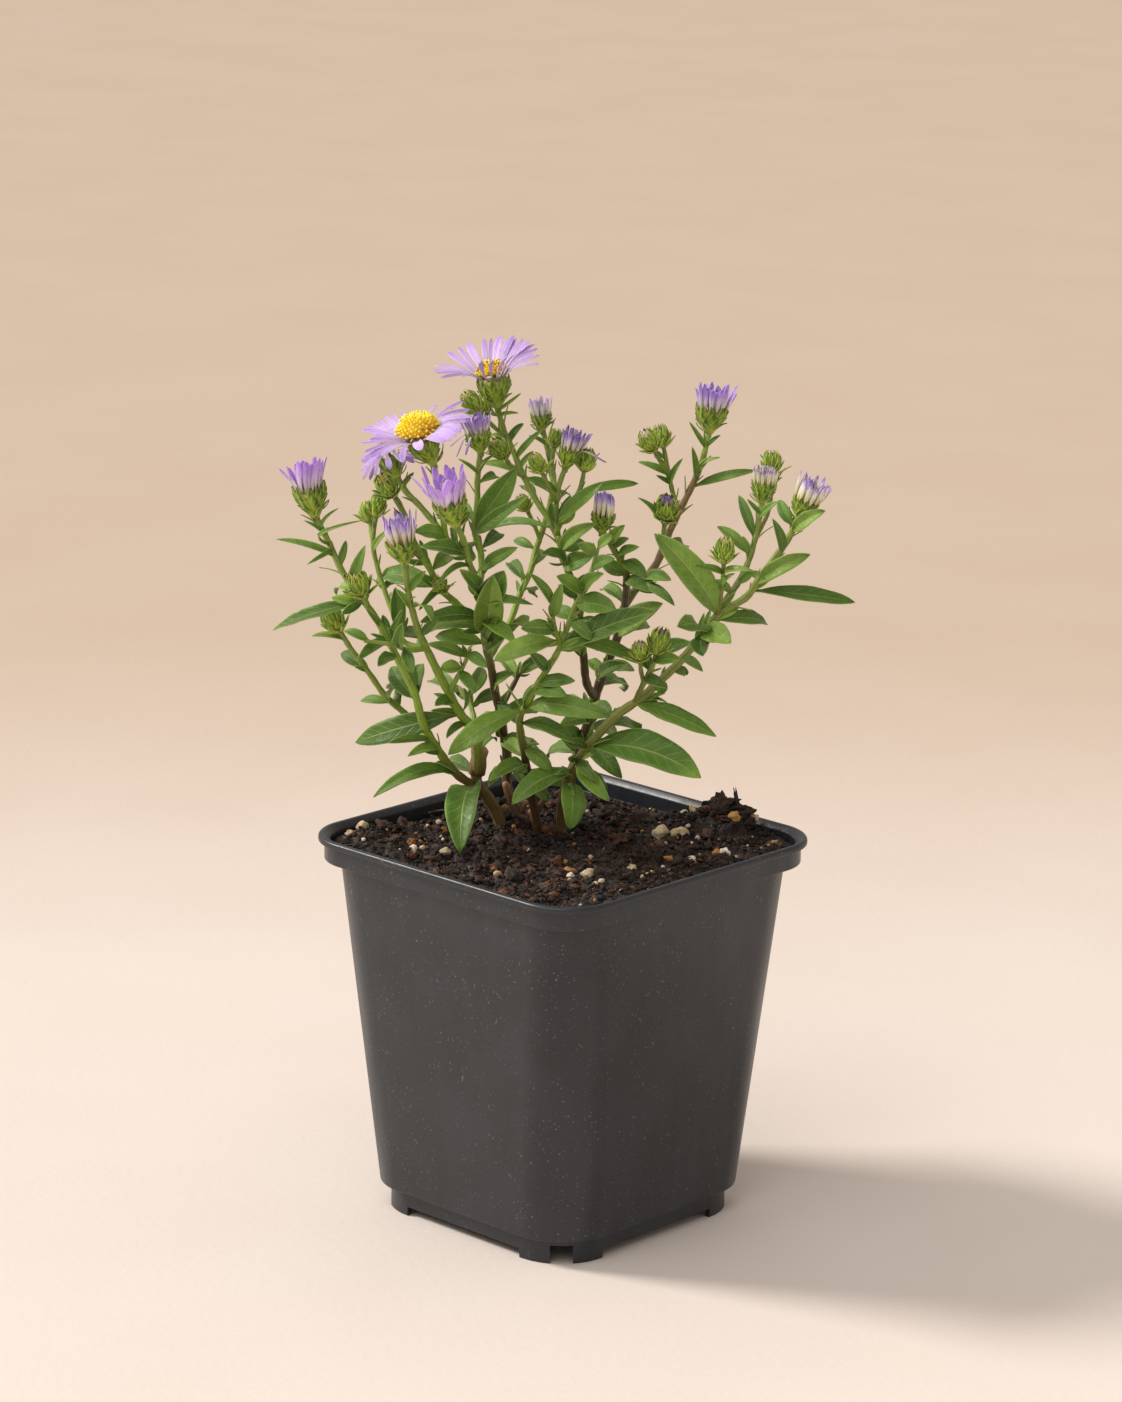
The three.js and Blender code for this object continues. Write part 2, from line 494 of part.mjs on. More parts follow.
// Feet stay at the corners: the skirt is cut back along each side and open at each corner.
function potCuts() {
  const reach = LIP_HALF * 2.2;
  const cornerReach = FOOT_HALF * Math.SQRT2 - 6.8;
  const cuts = [
    box(2 * FOOT_NOTCH_HALF, reach, 2 * FOOT_NOTCH_HEIGHT, 0, 0, 0),
    box(reach, 2 * FOOT_NOTCH_HALF, 2 * FOOT_NOTCH_HEIGHT, 0, 0, 0),
  ];
  for (let corner = 0; corner < 4; corner += 1) {
    cuts.push(box(2 * DRAIN_DEPTH, DRAIN_WIDTH, 2 * DRAIN_HEIGHT, cornerReach, 0, 0,
      Math.PI / 4 + corner * Math.PI / 2));
  }
  return cuts;
}

function pot() {
  return toGeometry(toSolid(potShell()).subtract(fuse(potCuts())));
}

// Soil
function soilHeight(x, y, random) {
  const level = SOIL_RISES.reduce((sum, { at, rise, spread }) => {
    const middle = onGround(at, 0);
    const away = Math.hypot(x - middle.x, y - middle.y) / spread;
    return sum + rise * Math.exp(-away * away);
  }, SOIL_EDGE_Z);
  return level + SOIL_RELIEF * (random() - 0.5) * 2;
}

function soilBody() {
  const random = seededRandom(7);
  const innerFoot = FOOT_HALF - WALL - GAP;
  const outer = BODY_TOP_HALF - WALL - GAP;
  const rings = [
    squareRing(innerFoot, 15, FLOOR_UNDERSIDE + FLOOR_THICKNESS + GAP),
    squareRing(innerFoot, 15, FOOT_HEIGHT + 0.6),
    squareRing(BODY_FOOT_HALF - WALL - GAP, 15.2, FOOT_HEIGHT + 1.4),
    squareRing(outer - 0.2, 15.2, BAND_BOTTOM - 3),
  ];
  [1.008, 0.84, 0.66, 0.48, 0.3, 0.12].forEach((share) => {
    const ring = squareRing(outer * share, 15.2 * share, 0);
    rings.push(ring.map((point) => point.setZ(soilHeight(point.x, point.y, random))));
  });
  return loft(rings, new THREE.Vector3(0, 0, soilHeight(0, 0, random)));
}

// Where a stone lies: on the soil, or on the heap of bark.
function stonePlace(at) {
  const flat = onGround(at, 0);
  const heap = onGround(MOUND.at, 0);
  const out = Math.min(1, flat.distanceTo(heap) / MOUND.radii[0]);
  const rise = MOUND.radii[2] * Math.sqrt(1 - out * out) * 0.8;
  return flat.setZ(soilHeight(flat.x, flat.y, () => 0.5) + rise);
}

function stone(at, radius, sink, shape, random) {
  const geometry = new shape(radius, 0);
  geometry.rotateX(random() * 3);
  geometry.rotateZ(random() * 3);
  geometry.scale(1, 0.75 + 0.4 * random(), 0.7 + 0.2 * random());
  const place = stonePlace(at);
  geometry.translate(place.x, place.y, place.z - sink);
  return geometry;
}

function barkHeap() {
  const geometry = new THREE.IcosahedronGeometry(1, 1);
  geometry.scale(...MOUND.radii);
  const place = onGround(MOUND.at, SOIL_EDGE_Z);
  geometry.translate(place.x, place.y, place.z);
  return geometry;
}

// Plain holes that the stems stand in
function stemHoles() {
  const x = new THREE.Vector3(1, 0, 0);
  const y = new THREE.Vector3(0, 1, 0);
  return Object.values(PLANTS).map(({ stems: [stem] }) => {
    const top = seen(stem.route[0]).setZ(STEM_HOLE_TOP);
    const radius = stem.radii[0] + GAP;
    return loft([
      circleRing(top.clone().setZ(STEM_HOLE_FLOOR), radius * 1.1, x, y, 8),
      circleRing(top, radius * 1.3, x, y, 8),
    ]);
  });
}

function soil() {
  const random = seededRandom(23);
  const pieces = [soilBody(), barkHeap()];
  LUMPS.forEach(([at, radius]) =>
    pieces.push(stone(at, radius, radius * 0.3, THREE.IcosahedronGeometry, random)));
  GRAINS.forEach(([at, radius]) =>
    pieces.push(stone(at, radius, radius * 0.28, THREE.OctahedronGeometry, random)));
  return toGeometry(fuse(pieces).subtract(fuse(stemHoles())));
}

// Stems
function stemLine(stem, parents) {
  const points = stem.route.map(seen);
  if (stem.rooted) {
    points.unshift(points[0].clone().setZ(STEM_ROOT_Z));
  } else {
    points[0] = nearestOnLines(parents, stem.route[0][0], stem.route[0][1]);
  }
  const curve = new THREE.CatmullRomCurve3(points, false, 'centripetal');
  const count = Math.max(2, Math.round(curve.getLength() / STEM_STEP));
  return { curve, centres: curve.getSpacedPoints(count), count };
}

// Each stem grows from the stems listed before it.
function stemLines(plant) {
  const lines = [];
  plant.stems.forEach((stem) => lines.push(stemLine(stem, lines)));
  return lines;
}

function stemSkin(stem, { curve, centres, count }) {
  const frames = curve.computeFrenetFrames(count);
  const rings = centres.map((centre, index) => circleRing(centre,
    THREE.MathUtils.lerp(stem.radii[0], stem.radii[1], index / count),
    frames.normals[index], frames.binormals[index], STEM_SIDES));
  return loft(rings);
}

function seenPlace(point) {
  const spread = 1 / (1 - point.dot(TOWARD) / EYE.dot(TOWARD));
  return [(point.dot(ACROSS) - EYE.dot(ACROSS)) * spread + EYE.dot(ACROSS),
    (point.z - EYE.z) * spread + EYE.z];
}

// The point of the stems' middle lines that lies nearest to a seen place
function nearestOnLines(lines, across, up) {
  const stepsPerSpan = 12;
  let best = { distance: Infinity };
  lines.forEach(({ centres }) => {
    for (let step = 0; step <= (centres.length - 1) * stepsPerSpan; step += 1) {
      const span = Math.min(Math.floor(step / stepsPerSpan), centres.length - 2);
      const point = centres[span].clone().lerp(centres[span + 1], step / stepsPerSpan - span);
      const [pointAcross, pointUp] = seenPlace(point);
      const distance = Math.hypot(pointAcross - across, pointUp - up);
      if (distance < best.distance) best = { distance, point };
    }
  });
  return best.point;
}

// A strap of three-sided rings: flat above, ridged below, with a pointed tip or a blunt end.
function strap(rings, side, thickness, tip = null) {
  const outline = rings.map(({ middle, below, half }) => [
    middle.clone().addScaledVector(side, -half),
    middle.clone().addScaledVector(side, half),
    middle.clone().addScaledVector(below, thickness),
  ]);
  return loft(outline, tip);
}

function leaf(lines, [across, up, tipAcross, tipUp, tipToward, width, face, arch]) {
  const base = nearestOnLines(lines, across, up);
  const tip = seen([tipAcross, tipUp, tipToward]);
  const chord = tip.clone().sub(base);
  const turn = THREE.MathUtils.degToRad(face ?? LEAF_FACE);
  const facing = UP.clone().multiplyScalar(Math.cos(turn)).addScaledVector(TOWARD, Math.sin(turn));
  const side = new THREE.Vector3().crossVectors(chord, facing).normalize();
  const normal = new THREE.Vector3().crossVectors(side, chord).normalize();
  const rise = chord.length() * (arch ?? LEAF_ARCH) * 2;
  const bend = base.clone().lerp(tip, 0.5).addScaledVector(normal, rise);
  const midline = new THREE.QuadraticBezierCurve3(base, bend, tip);
  const shape = width >= 4 ? [[0.38, 1], [0.76, 0.72]] : [[0.5, 1]];
  const rings = [[0, STALK_WIDTH / width], ...shape].map(([share, breadth]) => ({
    middle: midline.getPoint(share),
    below: new THREE.Vector3().crossVectors(midline.getTangent(share), side).normalize(),
    half: (width * breadth) / 2,
  }));
  rings[0].middle.addScaledVector(rings[0].below, -BLADE_THICKNESS / 2);
  return strap(rings, side, BLADE_THICKNESS, tip);
}

// Axis, right and back directions of a head or bud
function frameAlong(axis) {
  const zAxis = axis.clone().normalize();
  const yAxis = new THREE.Vector3().crossVectors(zAxis, ACROSS).normalize();
  const xAxis = new THREE.Vector3().crossVectors(yAxis, zAxis);
  return { xAxis, yAxis, zAxis };
}

function turnedRing(centre, radius, height, frame, sides) {
  return circleRing(centre.clone().addScaledVector(frame.zAxis, height), radius,
    frame.xAxis, frame.yAxis, sides);
}

// A ring whose every other point is a bract's tip, drawn up and out.
function bractRing(centre, radius, height, frame, sides, tipRise, tipOut, shift) {
  const foot = centre.clone().addScaledVector(frame.zAxis, height);
  return circleRing(foot, radius, frame.xAxis, frame.yAxis, sides).map((point, index) => {
    if ((index + shift) % 2) return point;
    const out = point.clone().sub(foot).normalize();
    return point.addScaledVector(frame.zAxis, tipRise).addScaledVector(out, tipOut);
  });
}

function headFrame(head) {
  return frameAlong(seen(head.rim).sub(seen(head.base)));
}

// Green cup of pointed bracts in two rows under a flower head
function involucre(head) {
  const base = seen(head.base);
  const frame = headFrame(head);
  const height = base.distanceTo(seen(head.rim));
  return loft([
    turnedRing(base, 0.8, -0.5, frame, CUP_SIDES),
    bractRing(base, 0.68 * head.cup, 0.26 * height, frame, CUP_SIDES, 0.9, 0.9, 0),
    turnedRing(base, 0.84 * head.cup, 0.56 * height, frame, CUP_SIDES),
    bractRing(base, 0.94 * head.cup, height, frame, CUP_SIDES, head.disc ? 0 : 1.3, 0.6, 1),
    turnedRing(base, 0.84 * head.cup, height, frame, CUP_SIDES),
  ]);
}

function bud({ curve }, radius) {
  const centre = curve.getPoint(1);
  const frame = frameAlong(curve.getTangent(1));
  return loft([
    turnedRing(centre, radius * 0.4, -radius * 1.1, frame, BUD_SIDES),
    bractRing(centre, radius * 0.86, -radius * 0.35, frame, BUD_SIDES, 0.5, 0.6, 0),
    bractRing(centre, radius * 0.8, radius * 0.55, frame, BUD_SIDES, 0.7, 0.3, 1),
  ], centre.clone().addScaledVector(frame.zAxis, radius * 1.3));
}

// Rays stand in two layers on a thin plate that rests on the cup.
function rays(head) {
  const frame = headFrame(head);
  const foot = seen(head.rim).addScaledVector(frame.zAxis, GAP);
  const plate = head.cup * PLATE_SHARE;
  const pieces = [loft([
    turnedRing(foot, plate, 0, frame, CUP_SIDES),
    turnedRing(foot, plate, PLATE_THICKNESS, frame, CUP_SIDES),
  ])];
  for (let index = 0; index < head.rays; index += 1) {
    pieces.push(ray(foot, frame, head, (index / head.rays) * Math.PI * 2, index % 2, plate));
  }
  return toGeometry(fuse(pieces));
}

// A ray of an open head is blunt, and bends over the cup's edge first where it hangs down.
function ray(foot, frame, head, angle, layer, plate) {
  const out = frame.xAxis.clone().multiplyScalar(Math.cos(angle))
    .addScaledVector(frame.yAxis, Math.sin(angle));
  const side = new THREE.Vector3().crossVectors(frame.zAxis, out);
  const lean = head.leanRight * Math.cos(angle) + head.leanBack * Math.sin(angle);
  const lift = THREE.MathUtils.degToRad(head.rise + lean + (layer ? 6 : 0));
  const along = out.clone().multiplyScalar(Math.cos(lift)).addScaledVector(frame.zAxis, Math.sin(lift));
  const below = new THREE.Vector3().crossVectors(side, along).normalize();
  const open = Boolean(head.disc);
  const inset = open ? 0.15 : RAY_THICKNESS + 0.3 + layer * RAY_LAYER_STEP;
  const start = foot.clone().addScaledVector(out, plate - inset).addScaledVector(frame.zAxis, 0.85);
  const root = start.clone().addScaledVector(open ? out : along, -0.7);
  if (head.rise < 0) start.addScaledVector(out, head.cup * 0.24 + 1.8).addScaledVector(frame.zAxis, 0.9);
  const shape = open ? [[0.62, 1], [1, 0.45]] : [[0.7, 1]];
  if (head.rise < 0) shape.unshift([0, 0.7]);
  const rings = shape.map(([share, breadth]) => ({
    middle: start.clone().addScaledVector(along, head.length * share),
    below,
    half: (head.width * breadth) / 2,
  }));
  rings.unshift({ middle: root, below: open ? frame.zAxis.clone().negate() : below, half: 0.45 });
  return strap(rings, side, RAY_THICKNESS, open ? null : start.addScaledVector(along, head.length));
}

// Domed disc of florets, its knobs raised by a formula
function disc(head) {
  const frame = headFrame(head);
  const foot = seen(head.rim).addScaledVector(frame.zAxis, GAP + PLATE_THICKNESS + GAP);
  const profile = [[0.76, 0], [1, 0.2], [0.86, 0.48], [0.5, 0.68]];
  const rings = profile.map(([share, height], index) =>
    turnedRing(foot, head.disc * share, head.disc * height, frame, DISC_SIDES).map((point, side) =>
      point.addScaledVector(frame.zAxis, index > 0 && (side + index) % 2 ? 0.5 : 0)));
  return toGeometry(toSolid(loft(rings, foot.clone().addScaledVector(frame.zAxis, head.disc * 0.72))));
}

function leafyStem(plant, heads) {
  const lines = stemLines(plant);
  const pieces = plant.stems.map((stem, index) => stemSkin(stem, lines[index]));
  plant.stems.forEach((stem, index) => {
    if (stem.bud) pieces.push(bud(lines[index], stem.bud));
  });
  plant.leaves.forEach((entry) => pieces.push(leaf(lines, entry)));
  heads.forEach((head) => pieces.push(involucre(head)));
  return toGeometry(fuse(pieces));
}

// A head belongs to the plant that has a stem ending at its base.
function headsOf(plant) {
  return Object.values(HEADS).filter((head) =>
    plant.stems.some((stem) => seen(stem.route.at(-1)).distanceTo(seen(head.base)) < 0.1));
}

function mesh(name, geometry, meshMaterial) {
  const piece = new THREE.Mesh(geometry, meshMaterial);
  piece.name = name;
  return piece;
}

const group = new THREE.Group();
const green = material(COLOURS.green, 0.6);
const violet = material(COLOURS.ray, 0.55);
const yellow = material(COLOURS.disc, 0.7);
group.add(mesh('pot', pot(), material(COLOURS.pot, 0.45)));
group.add(mesh('soil', soil(), material(COLOURS.soil, 0.95)));
Object.entries(PLANTS).forEach(([name, plant]) => {
  group.add(mesh(`leafy_stem_${name}`, leafyStem(plant, headsOf(plant)), green));
});
Object.entries(HEADS).forEach(([name, head]) => {
  group.add(mesh(`rays_${name}`, rays(head), violet));
  if (head.disc) group.add(mesh(`disc_${name}`, disc(head), yellow));
});

export default group;
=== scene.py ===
"""Potted aster, dressed: every leaf, bract, ray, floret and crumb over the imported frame."""

import logging
from dataclasses import dataclass, field
from enum import Enum
from math import copysign, cos, dist, exp, hypot, inf, pi, radians, remainder, sin, sqrt, tau
from random import Random
from typing import Iterable, Iterator, Sequence

import bmesh
import bpy
from mathutils import Matrix, Vector, noise


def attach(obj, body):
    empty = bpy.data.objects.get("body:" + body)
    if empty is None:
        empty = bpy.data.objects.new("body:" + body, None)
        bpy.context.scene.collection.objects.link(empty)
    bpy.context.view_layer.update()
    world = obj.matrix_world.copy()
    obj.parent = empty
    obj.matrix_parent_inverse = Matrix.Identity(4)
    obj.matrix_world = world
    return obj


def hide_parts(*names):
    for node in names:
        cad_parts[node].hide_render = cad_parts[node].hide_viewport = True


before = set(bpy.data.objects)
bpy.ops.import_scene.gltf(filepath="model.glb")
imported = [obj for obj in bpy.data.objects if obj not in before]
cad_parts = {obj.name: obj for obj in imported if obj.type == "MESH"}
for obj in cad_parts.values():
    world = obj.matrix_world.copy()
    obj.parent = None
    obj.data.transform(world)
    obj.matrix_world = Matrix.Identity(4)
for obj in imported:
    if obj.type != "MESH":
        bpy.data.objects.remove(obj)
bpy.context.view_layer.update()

LOG = logging.getLogger("potted_aster")

MM = 0.001
BODY = "root"

# The plant was measured from one eye point. A place on it is written as seen from there:
# across and up on the upright plane through the pot's axis, then its depth toward the eye.
EYE = Vector((956.1, -1009.5, 534.7))
VIEW_TURN = radians(43.4426)
ACROSS = Vector((cos(VIEW_TURN), sin(VIEW_TURN), 0.0))
TOWARD = Vector((sin(VIEW_TURN), -cos(VIEW_TURN), 0.0))
UP = Vector((0.0, 0.0, 1.0))
EYE_DEPTH = EYE.dot(TOWARD)

Colour = tuple[float, float, float, float]
Rows = list[tuple[float, ...]]
Shape = bmesh.types.BMesh
Socket = bpy.types.NodeSocket


def linear(code: str) -> Colour:
    """Turns an sRGB hex colour into linear values.

    Args:
        code: six hex digits.

    Returns:
        Linear red, green and blue, and full opacity.
    """
    parts = [int(code[at:at + 2], 16) / 255 for at in (0, 2, 4)]
    red, green, blue = [
        part / 12.92 if part <= 0.04045 else ((part + 0.055) / 1.055) ** 2.4 for part in parts
    ]
    return red, green, blue, 1.0


def rows(text: str) -> Rows:
    """Reads a table of numbers.

    Args:
        text: the numbers of each row, with a comma after every row but the last.

    Returns:
        One tuple for each row.
    """
    return [tuple(float(word) for word in row.split()) for row in text.split(",")]


def ease(low: float, high: float, value: float) -> float:
    """Smooth step from 0 at low to 1 at high."""
    share = min(1.0, max(0.0, (value - low) / (high - low)))
    return share * share * (3 - 2 * share)


def seen(across: float, up: float, toward: float) -> Vector:
    """Place in millimetres of a point that is written as seen from the eye."""
    flat = ACROSS * across + UP * up
    return flat.lerp(EYE, toward / EYE_DEPTH)


def on_ground(across: float, toward: float, height: float = 0.0) -> Vector:
    """Place in millimetres of a point given by its plan position and height."""
    return ACROSS * across + TOWARD * toward + UP * height


def depth(point: Vector) -> float:
    """How far a point stands toward the eye from the upright plane."""
    return point.dot(TOWARD)


def seen_place(point: Vector) -> tuple[float, float]:
    """Where a point shows on the upright plane, across and up."""
    spread = 1 / (1 - depth(point) / EYE_DEPTH)
    across = (point.dot(ACROSS) - EYE.dot(ACROSS)) * spread + EYE.dot(ACROSS)
    return across, (point.z - EYE.z) * spread + EYE.z


class Gradient:
    """Colours along a blade or a stem, from its foot at 0 to its tip at 1."""

    def __init__(self, stops: str) -> None:
        """Reads the stops as linear colours.

        Args:
            stops: share and sRGB hex colour of each, with a comma after every one but the last.
        """
        pairs = [stop.split() for stop in stops.split(",")]
        self.stops = [(float(at), Vector(linear(code))) for at, code in pairs]

    def at(self, share: float) -> Vector:
        """Colour at a share of the length.

        Args:
            share: how far along, from 0 to 1.

        Returns:
            The linear colour.
        """
        for (low, first), (high, second) in zip(self.stops, self.stops[1:]):
            if share <= high:
                return first.lerp(second, ease(low, high, share))
        return self.stops[-1][1].copy()


class SmoothLine:
    """Centripetal line through points, the same that the stems of the frame follow."""

    def __init__(self, points: Sequence[Vector]) -> None:
        """Adds a point beyond each end.

        Args:
            points: the places that the line goes through.
        """
        first = points[0] * 2 - points[1]
        last = points[-1] * 2 - points[-2]
        self.points = [first, *points, last]

    def at(self, share: float) -> Vector:
        """Place on the line, where each span has the same share.

        Args:
            share: how far along, from 0 to 1.

        Returns:
            The place.
        """
        spans = len(self.points) - 3
        span = min(int(share * spans), spans - 1)
        weight = share * spans - span
        p0, p1, p2, p3 = self.points[span:span + 4]
        d0, d1, d2 = (max(1e-4, (b - a).length) ** 0.5 for a, b in ((p0, p1), (p1, p2), (p2, p3)))
        out = ((p1 - p0) / d0 - (p2 - p0) / (d0 + d1) + (p2 - p1) / d1) * d1
        back = ((p2 - p1) / d1 - (p3 - p1) / (d1 + d2) + (p3 - p2) / d2) * d1
        square = -3 * p1 + 3 * p2 - 2 * out - back
        cube = 2 * p1 - 2 * p2 + out + back
        return p1 + out * weight + square * weight ** 2 + cube * weight ** 3

    def evenly(self, step: float) -> list[Vector]:
        """Places along the line at an even distance.

        Args:
            step: distance wished for, in millimetres.

        Returns:
            The places, both ends among them.
        """
        rough = [self.at(index / 240) for index in range(241)]
        reach = [0.0]
        for before, after in zip(rough, rough[1:]):
            reach.append(reach[-1] + (after - before).length)
        count = max(2, round(reach[-1] / step))
        places = []
        index = 0
        for number in range(count + 1):
            goal = reach[-1] * number / count
            while index < 239 and reach[index + 1] < goal:
                index += 1
            part = (goal - reach[index]) / max(1e-9, reach[index + 1] - reach[index])
            places.append(rough[index].lerp(rough[index + 1], min(1.0, part)))
        return places


def tangents(places: Sequence[Vector]) -> list[Vector]:
    """Directions of a line at each of its places.

    Args:
        places: the line.

    Returns:
        One direction for each place.
    """
    last = len(places) - 1
    return [
        (places[min(index + 1, last)] - places[max(index - 1, 0)]).normalized()
        for index in range(last + 1)
    ]


def bezier(points: Sequence[Vector], count: int) -> list[Vector]:
    """Places along a Bezier line.

    Args:
        points: its three or four control points.
        count: number of steps.

    Returns:
        The count + 1 places.
    """
    places = []
    for number in range(count + 1):
        row = list(points)
        while len(row) > 1:
            row = [a.lerp(b, number / count) for a, b in zip(row, row[1:])]
        places.append(row[0])
    return places


class Axes:
    """Right, back and up directions of a head or bud that points along an axis."""

    def __init__(self, axis: Vector) -> None:
        """Works them out so that right is as near as can be to the view's own right."""
        self.up = axis.normalized()
        self.back = self.up.cross(ACROSS).normalized()
        self.right = self.back.cross(self.up)

    def way(self, turn: float) -> Vector:
        """Direction out of the axis at a turn round it."""
        return self.right * cos(turn) + self.back * sin(turn)


def staggered(count: int, row: int, slack: float, draw: Random) -> Iterator[float]:
    """Turns of a row of scales or rays, with every other row half a step on.

    Args:
        count: how many stand in the row.
        row: number of the row.
        slack: how far each may stray, as a share of a step.
        draw: seeded random source.

    Yields:
        Each turn in radians.
    """
    for index in range(count):
        yield (index + 0.5 * (row % 2) + draw.uniform(-slack, slack)) / count * tau


def placed(name: str, data: bpy.types.ID) -> bpy.types.Object:
    """A new object at the origin of the scene."""
    thing = bpy.data.objects.new(name, data)
    bpy.context.scene.collection.objects.link(thing)
    return thing


def settled(name: str, shape: Shape) -> bpy.types.Mesh:
    """Turns a shape into a mesh and frees it.

    Args:
        name: name of the mesh.
        shape: its faces.

    Returns:
        The mesh.
    """
    mesh = bpy.data.meshes.new(name)
    shape.to_mesh(mesh)
    shape.free()
    return mesh


def new_shape() -> tuple[Shape, bmesh.types.BMLayerItem, bmesh.types.BMLayerItem]:
    """An empty bmesh with its layers: the lie of a vertex on its blade, and its tint.

    Returns:
        The bmesh and its two layers.
    """
    shape = bmesh.new()
    layers = shape.verts.layers
    lay, tint = layers.float_vector.new("lay"), layers.float_color.new("tint")
    return shape, lay, tint


class Outline(Enum):
    """How the half width of a blade goes from foot to tip."""

    LEAF = "leaf"
    LINE = "line"
    BRACT = "bract"
    RAY = "ray"

    def share(self, along: float) -> float:
        """Half width at a share of the length, as a share of the greatest.

        Args:
            along: 0 at the foot, 1 at the tip.

        Returns:
            The share, which is small but not nothing at both ends.
        """
        if self is Outline.LEAF:
            foot = 1 - 0.62 * exp(-((along / 0.13) ** 2))
            body = sin(pi * along ** 0.86) ** 0.8
            return max(0.015, body * foot, 0.16 * ease(0.2, 0.0, along))
        if self is Outline.LINE:
            return max(0.02, (1 - along ** 2.2) ** 0.8 * (0.72 + 0.28 * ease(0.0, 0.3, along)))
        if self is Outline.BRACT:
            return max(0.02, (1 - along ** 1.7) * (0.7 + 0.3 * ease(0.0, 0.35, along)))
        round_tip = sqrt(max(0.0, 1 - max(0.0, (along - 0.55) / 0.45) ** 2.1))
        return max(0.1, (0.36 + 0.64 * ease(0.0, 0.55, along)) * round_tip)


@dataclass
class Blade:
    """A thin blade along a midline: a leaf, a bract or a ray."""

    midline: list[Vector]
    facing: Vector
    width: float
    outline: Outline
    colours: Gradient
    seed: float
    fold: float = 0.15
    twist: float = 0.0
    ripple: float = 0.0
    cells: int = 4
    shade: float = 1.0

    def side_at(self, tangent: Vector, along: float) -> Vector:
        """Direction across the blade, turned by its twist."""
        side = tangent.cross(self.facing).normalized()
        return Matrix.Rotation(self.twist * (along - 0.3), 3, tangent) @ side

    def shape(self) -> Shape:
        """Bends a flat grid to the blade.

        Returns:
            A new bmesh with the layers "lay" and "tint".
        """
        rows = len(self.midline) - 1
        shape, lay, tint = new_shape()
        bmesh.ops.create_grid(shape, x_segments=rows, y_segments=self.cells, size=1.0)
        bmesh.ops.reverse_faces(shape, faces=shape.faces)
        directions = tangents(self.midline)
        sides = [self.side_at(directions[row], row / rows) for row in range(rows + 1)]
        for vert in shape.verts:
            row = round((vert.co.x + 1) / 2 * rows)
            across = vert.co.y
            along = row / rows
            side = sides[row]
            normal = side.cross(directions[row])
            half = self.width / 2 * self.outline.share(along)
            wave = sin(along * 17 + self.seed * 40 + 2 * across) * self.ripple * across ** 2
            lift = half * (self.fold * abs(across) ** 1.5 + wave)
            vert.co = self.midline[row] + side * (half * across) + normal * lift
            vert[lay] = (along, across, self.seed)
            colour = self.colours.at(along) * self.shade
            vert[tint] = (*colour[:3], 1.0)
        return shape


@dataclass
class Tube:
    """A round stem, cup or floret with a width for each place of its middle line."""

    places: list[Vector]
    radii: list[float]
    colours: Gradient
    seed: float = 0.0
    sides: int = 10
    ribs: float = 0.0

    def frames(self) -> list[tuple[Vector, Vector]]:
        """Two directions across the tube at each place, carried along without a twist.

        Returns:
            The two directions for each place.
        """
        directions = tangents(self.places)
        start = UP if abs(directions[0].z) < 0.8 else ACROSS
        first = directions[0].cross(start).normalized()
        rows = []
        for direction in directions:
            first = (first - direction * first.dot(direction)).normalized()
            rows.append((first, direction.cross(first)))
        return rows

    def shape(self) -> Shape:
        """Rolls a flat grid into a tube and closes its ends.

        Returns:
            A new bmesh with the layers "lay" and "tint".
        """
        rows = len(self.places) - 1
        shape, lay, tint = new_shape()
        bmesh.ops.create_grid(shape, x_segments=rows, y_segments=self.sides, size=1.0)
        frames = self.frames()
        for vert in shape.verts:
            row = round((vert.co.x + 1) / 2 * rows)
            turn = (vert.co.y + 1) * pi
            right, back = frames[row]
            radius = self.radii[row] * (1 + self.ribs * cos(5 * turn))
            vert[lay] = (row / rows, (vert.co.y + 1) / 2, self.seed)
            colour = self.colours.at(row / rows)
            vert[tint] = (*colour[:3], 1.0)
            vert.co = self.places[row] + (right * cos(turn) + back * sin(turn)) * radius
        bmesh.ops.remove_doubles(shape, verts=shape.verts, dist=0.0005)
        bmesh.ops.holes_fill(shape, edges=shape.edges, sides=self.sides)
        bmesh.ops.recalc_face_normals(shape, faces=shape.faces)
        return shape


class Piece:
    """One named piece, gathered from small shapes in millimetres."""

    def __init__(self, name: str, slot: str, finishes: Sequence[bpy.types.Material]) -> None:
        """Starts an empty piece.

        Args:
            name: plain name of the piece.
            slot: material slot that it belongs to; kept on the piece but not used.
            finishes: its materials, the main one first.
        """
        self.name = name
        self.slot = slot
        self.finishes = list(finishes)
        self.gathered = new_shape()[0]

    def add(self, shape: Shape, finish: int = 0) -> None:
        """Takes over a shape and frees it.

        Args:
            shape: faces in millimetres.
            finish: number of the material for them.
        """
        for face in shape.faces:
            face.material_index = finish
            face.smooth = True
        carrier = settled("carrier", shape)
        self.gathered.from_mesh(carrier)
        bpy.data.meshes.remove(carrier)

    def finish(self, replaces: Iterable[str] = (), thickness: float = 0.0,
               under: int = 0) -> bpy.types.Object:
        """Makes the object, in metres at the origin, and puts it on the frame.

        Args:
            replaces: frame nodes that it stands for.
            thickness: wall in millimetres that a sheet gets, or 0 for a closed piece.
            under: step in the material list for a sheet's underside.

        Returns:
            The finished object.
        """
        bmesh.ops.scale(self.gathered, vec=(MM, MM, MM), verts=self.gathered.verts)
        mesh = settled(self.name, self.gathered)
        for finish in self.finishes:
            mesh.materials.append(finish)
        piece = placed(self.name, mesh)
        if thickness:
            wall = piece.modifiers.new("wall", "SOLIDIFY")
            wall.thickness = thickness * MM
            wall.offset = 0.0
            wall.material_offset = under
        if replaces:
            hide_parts(*replaces)
        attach(piece, BODY)
        LOG.info("%s: %d faces", self.name, len(mesh.polygons))
        return piece


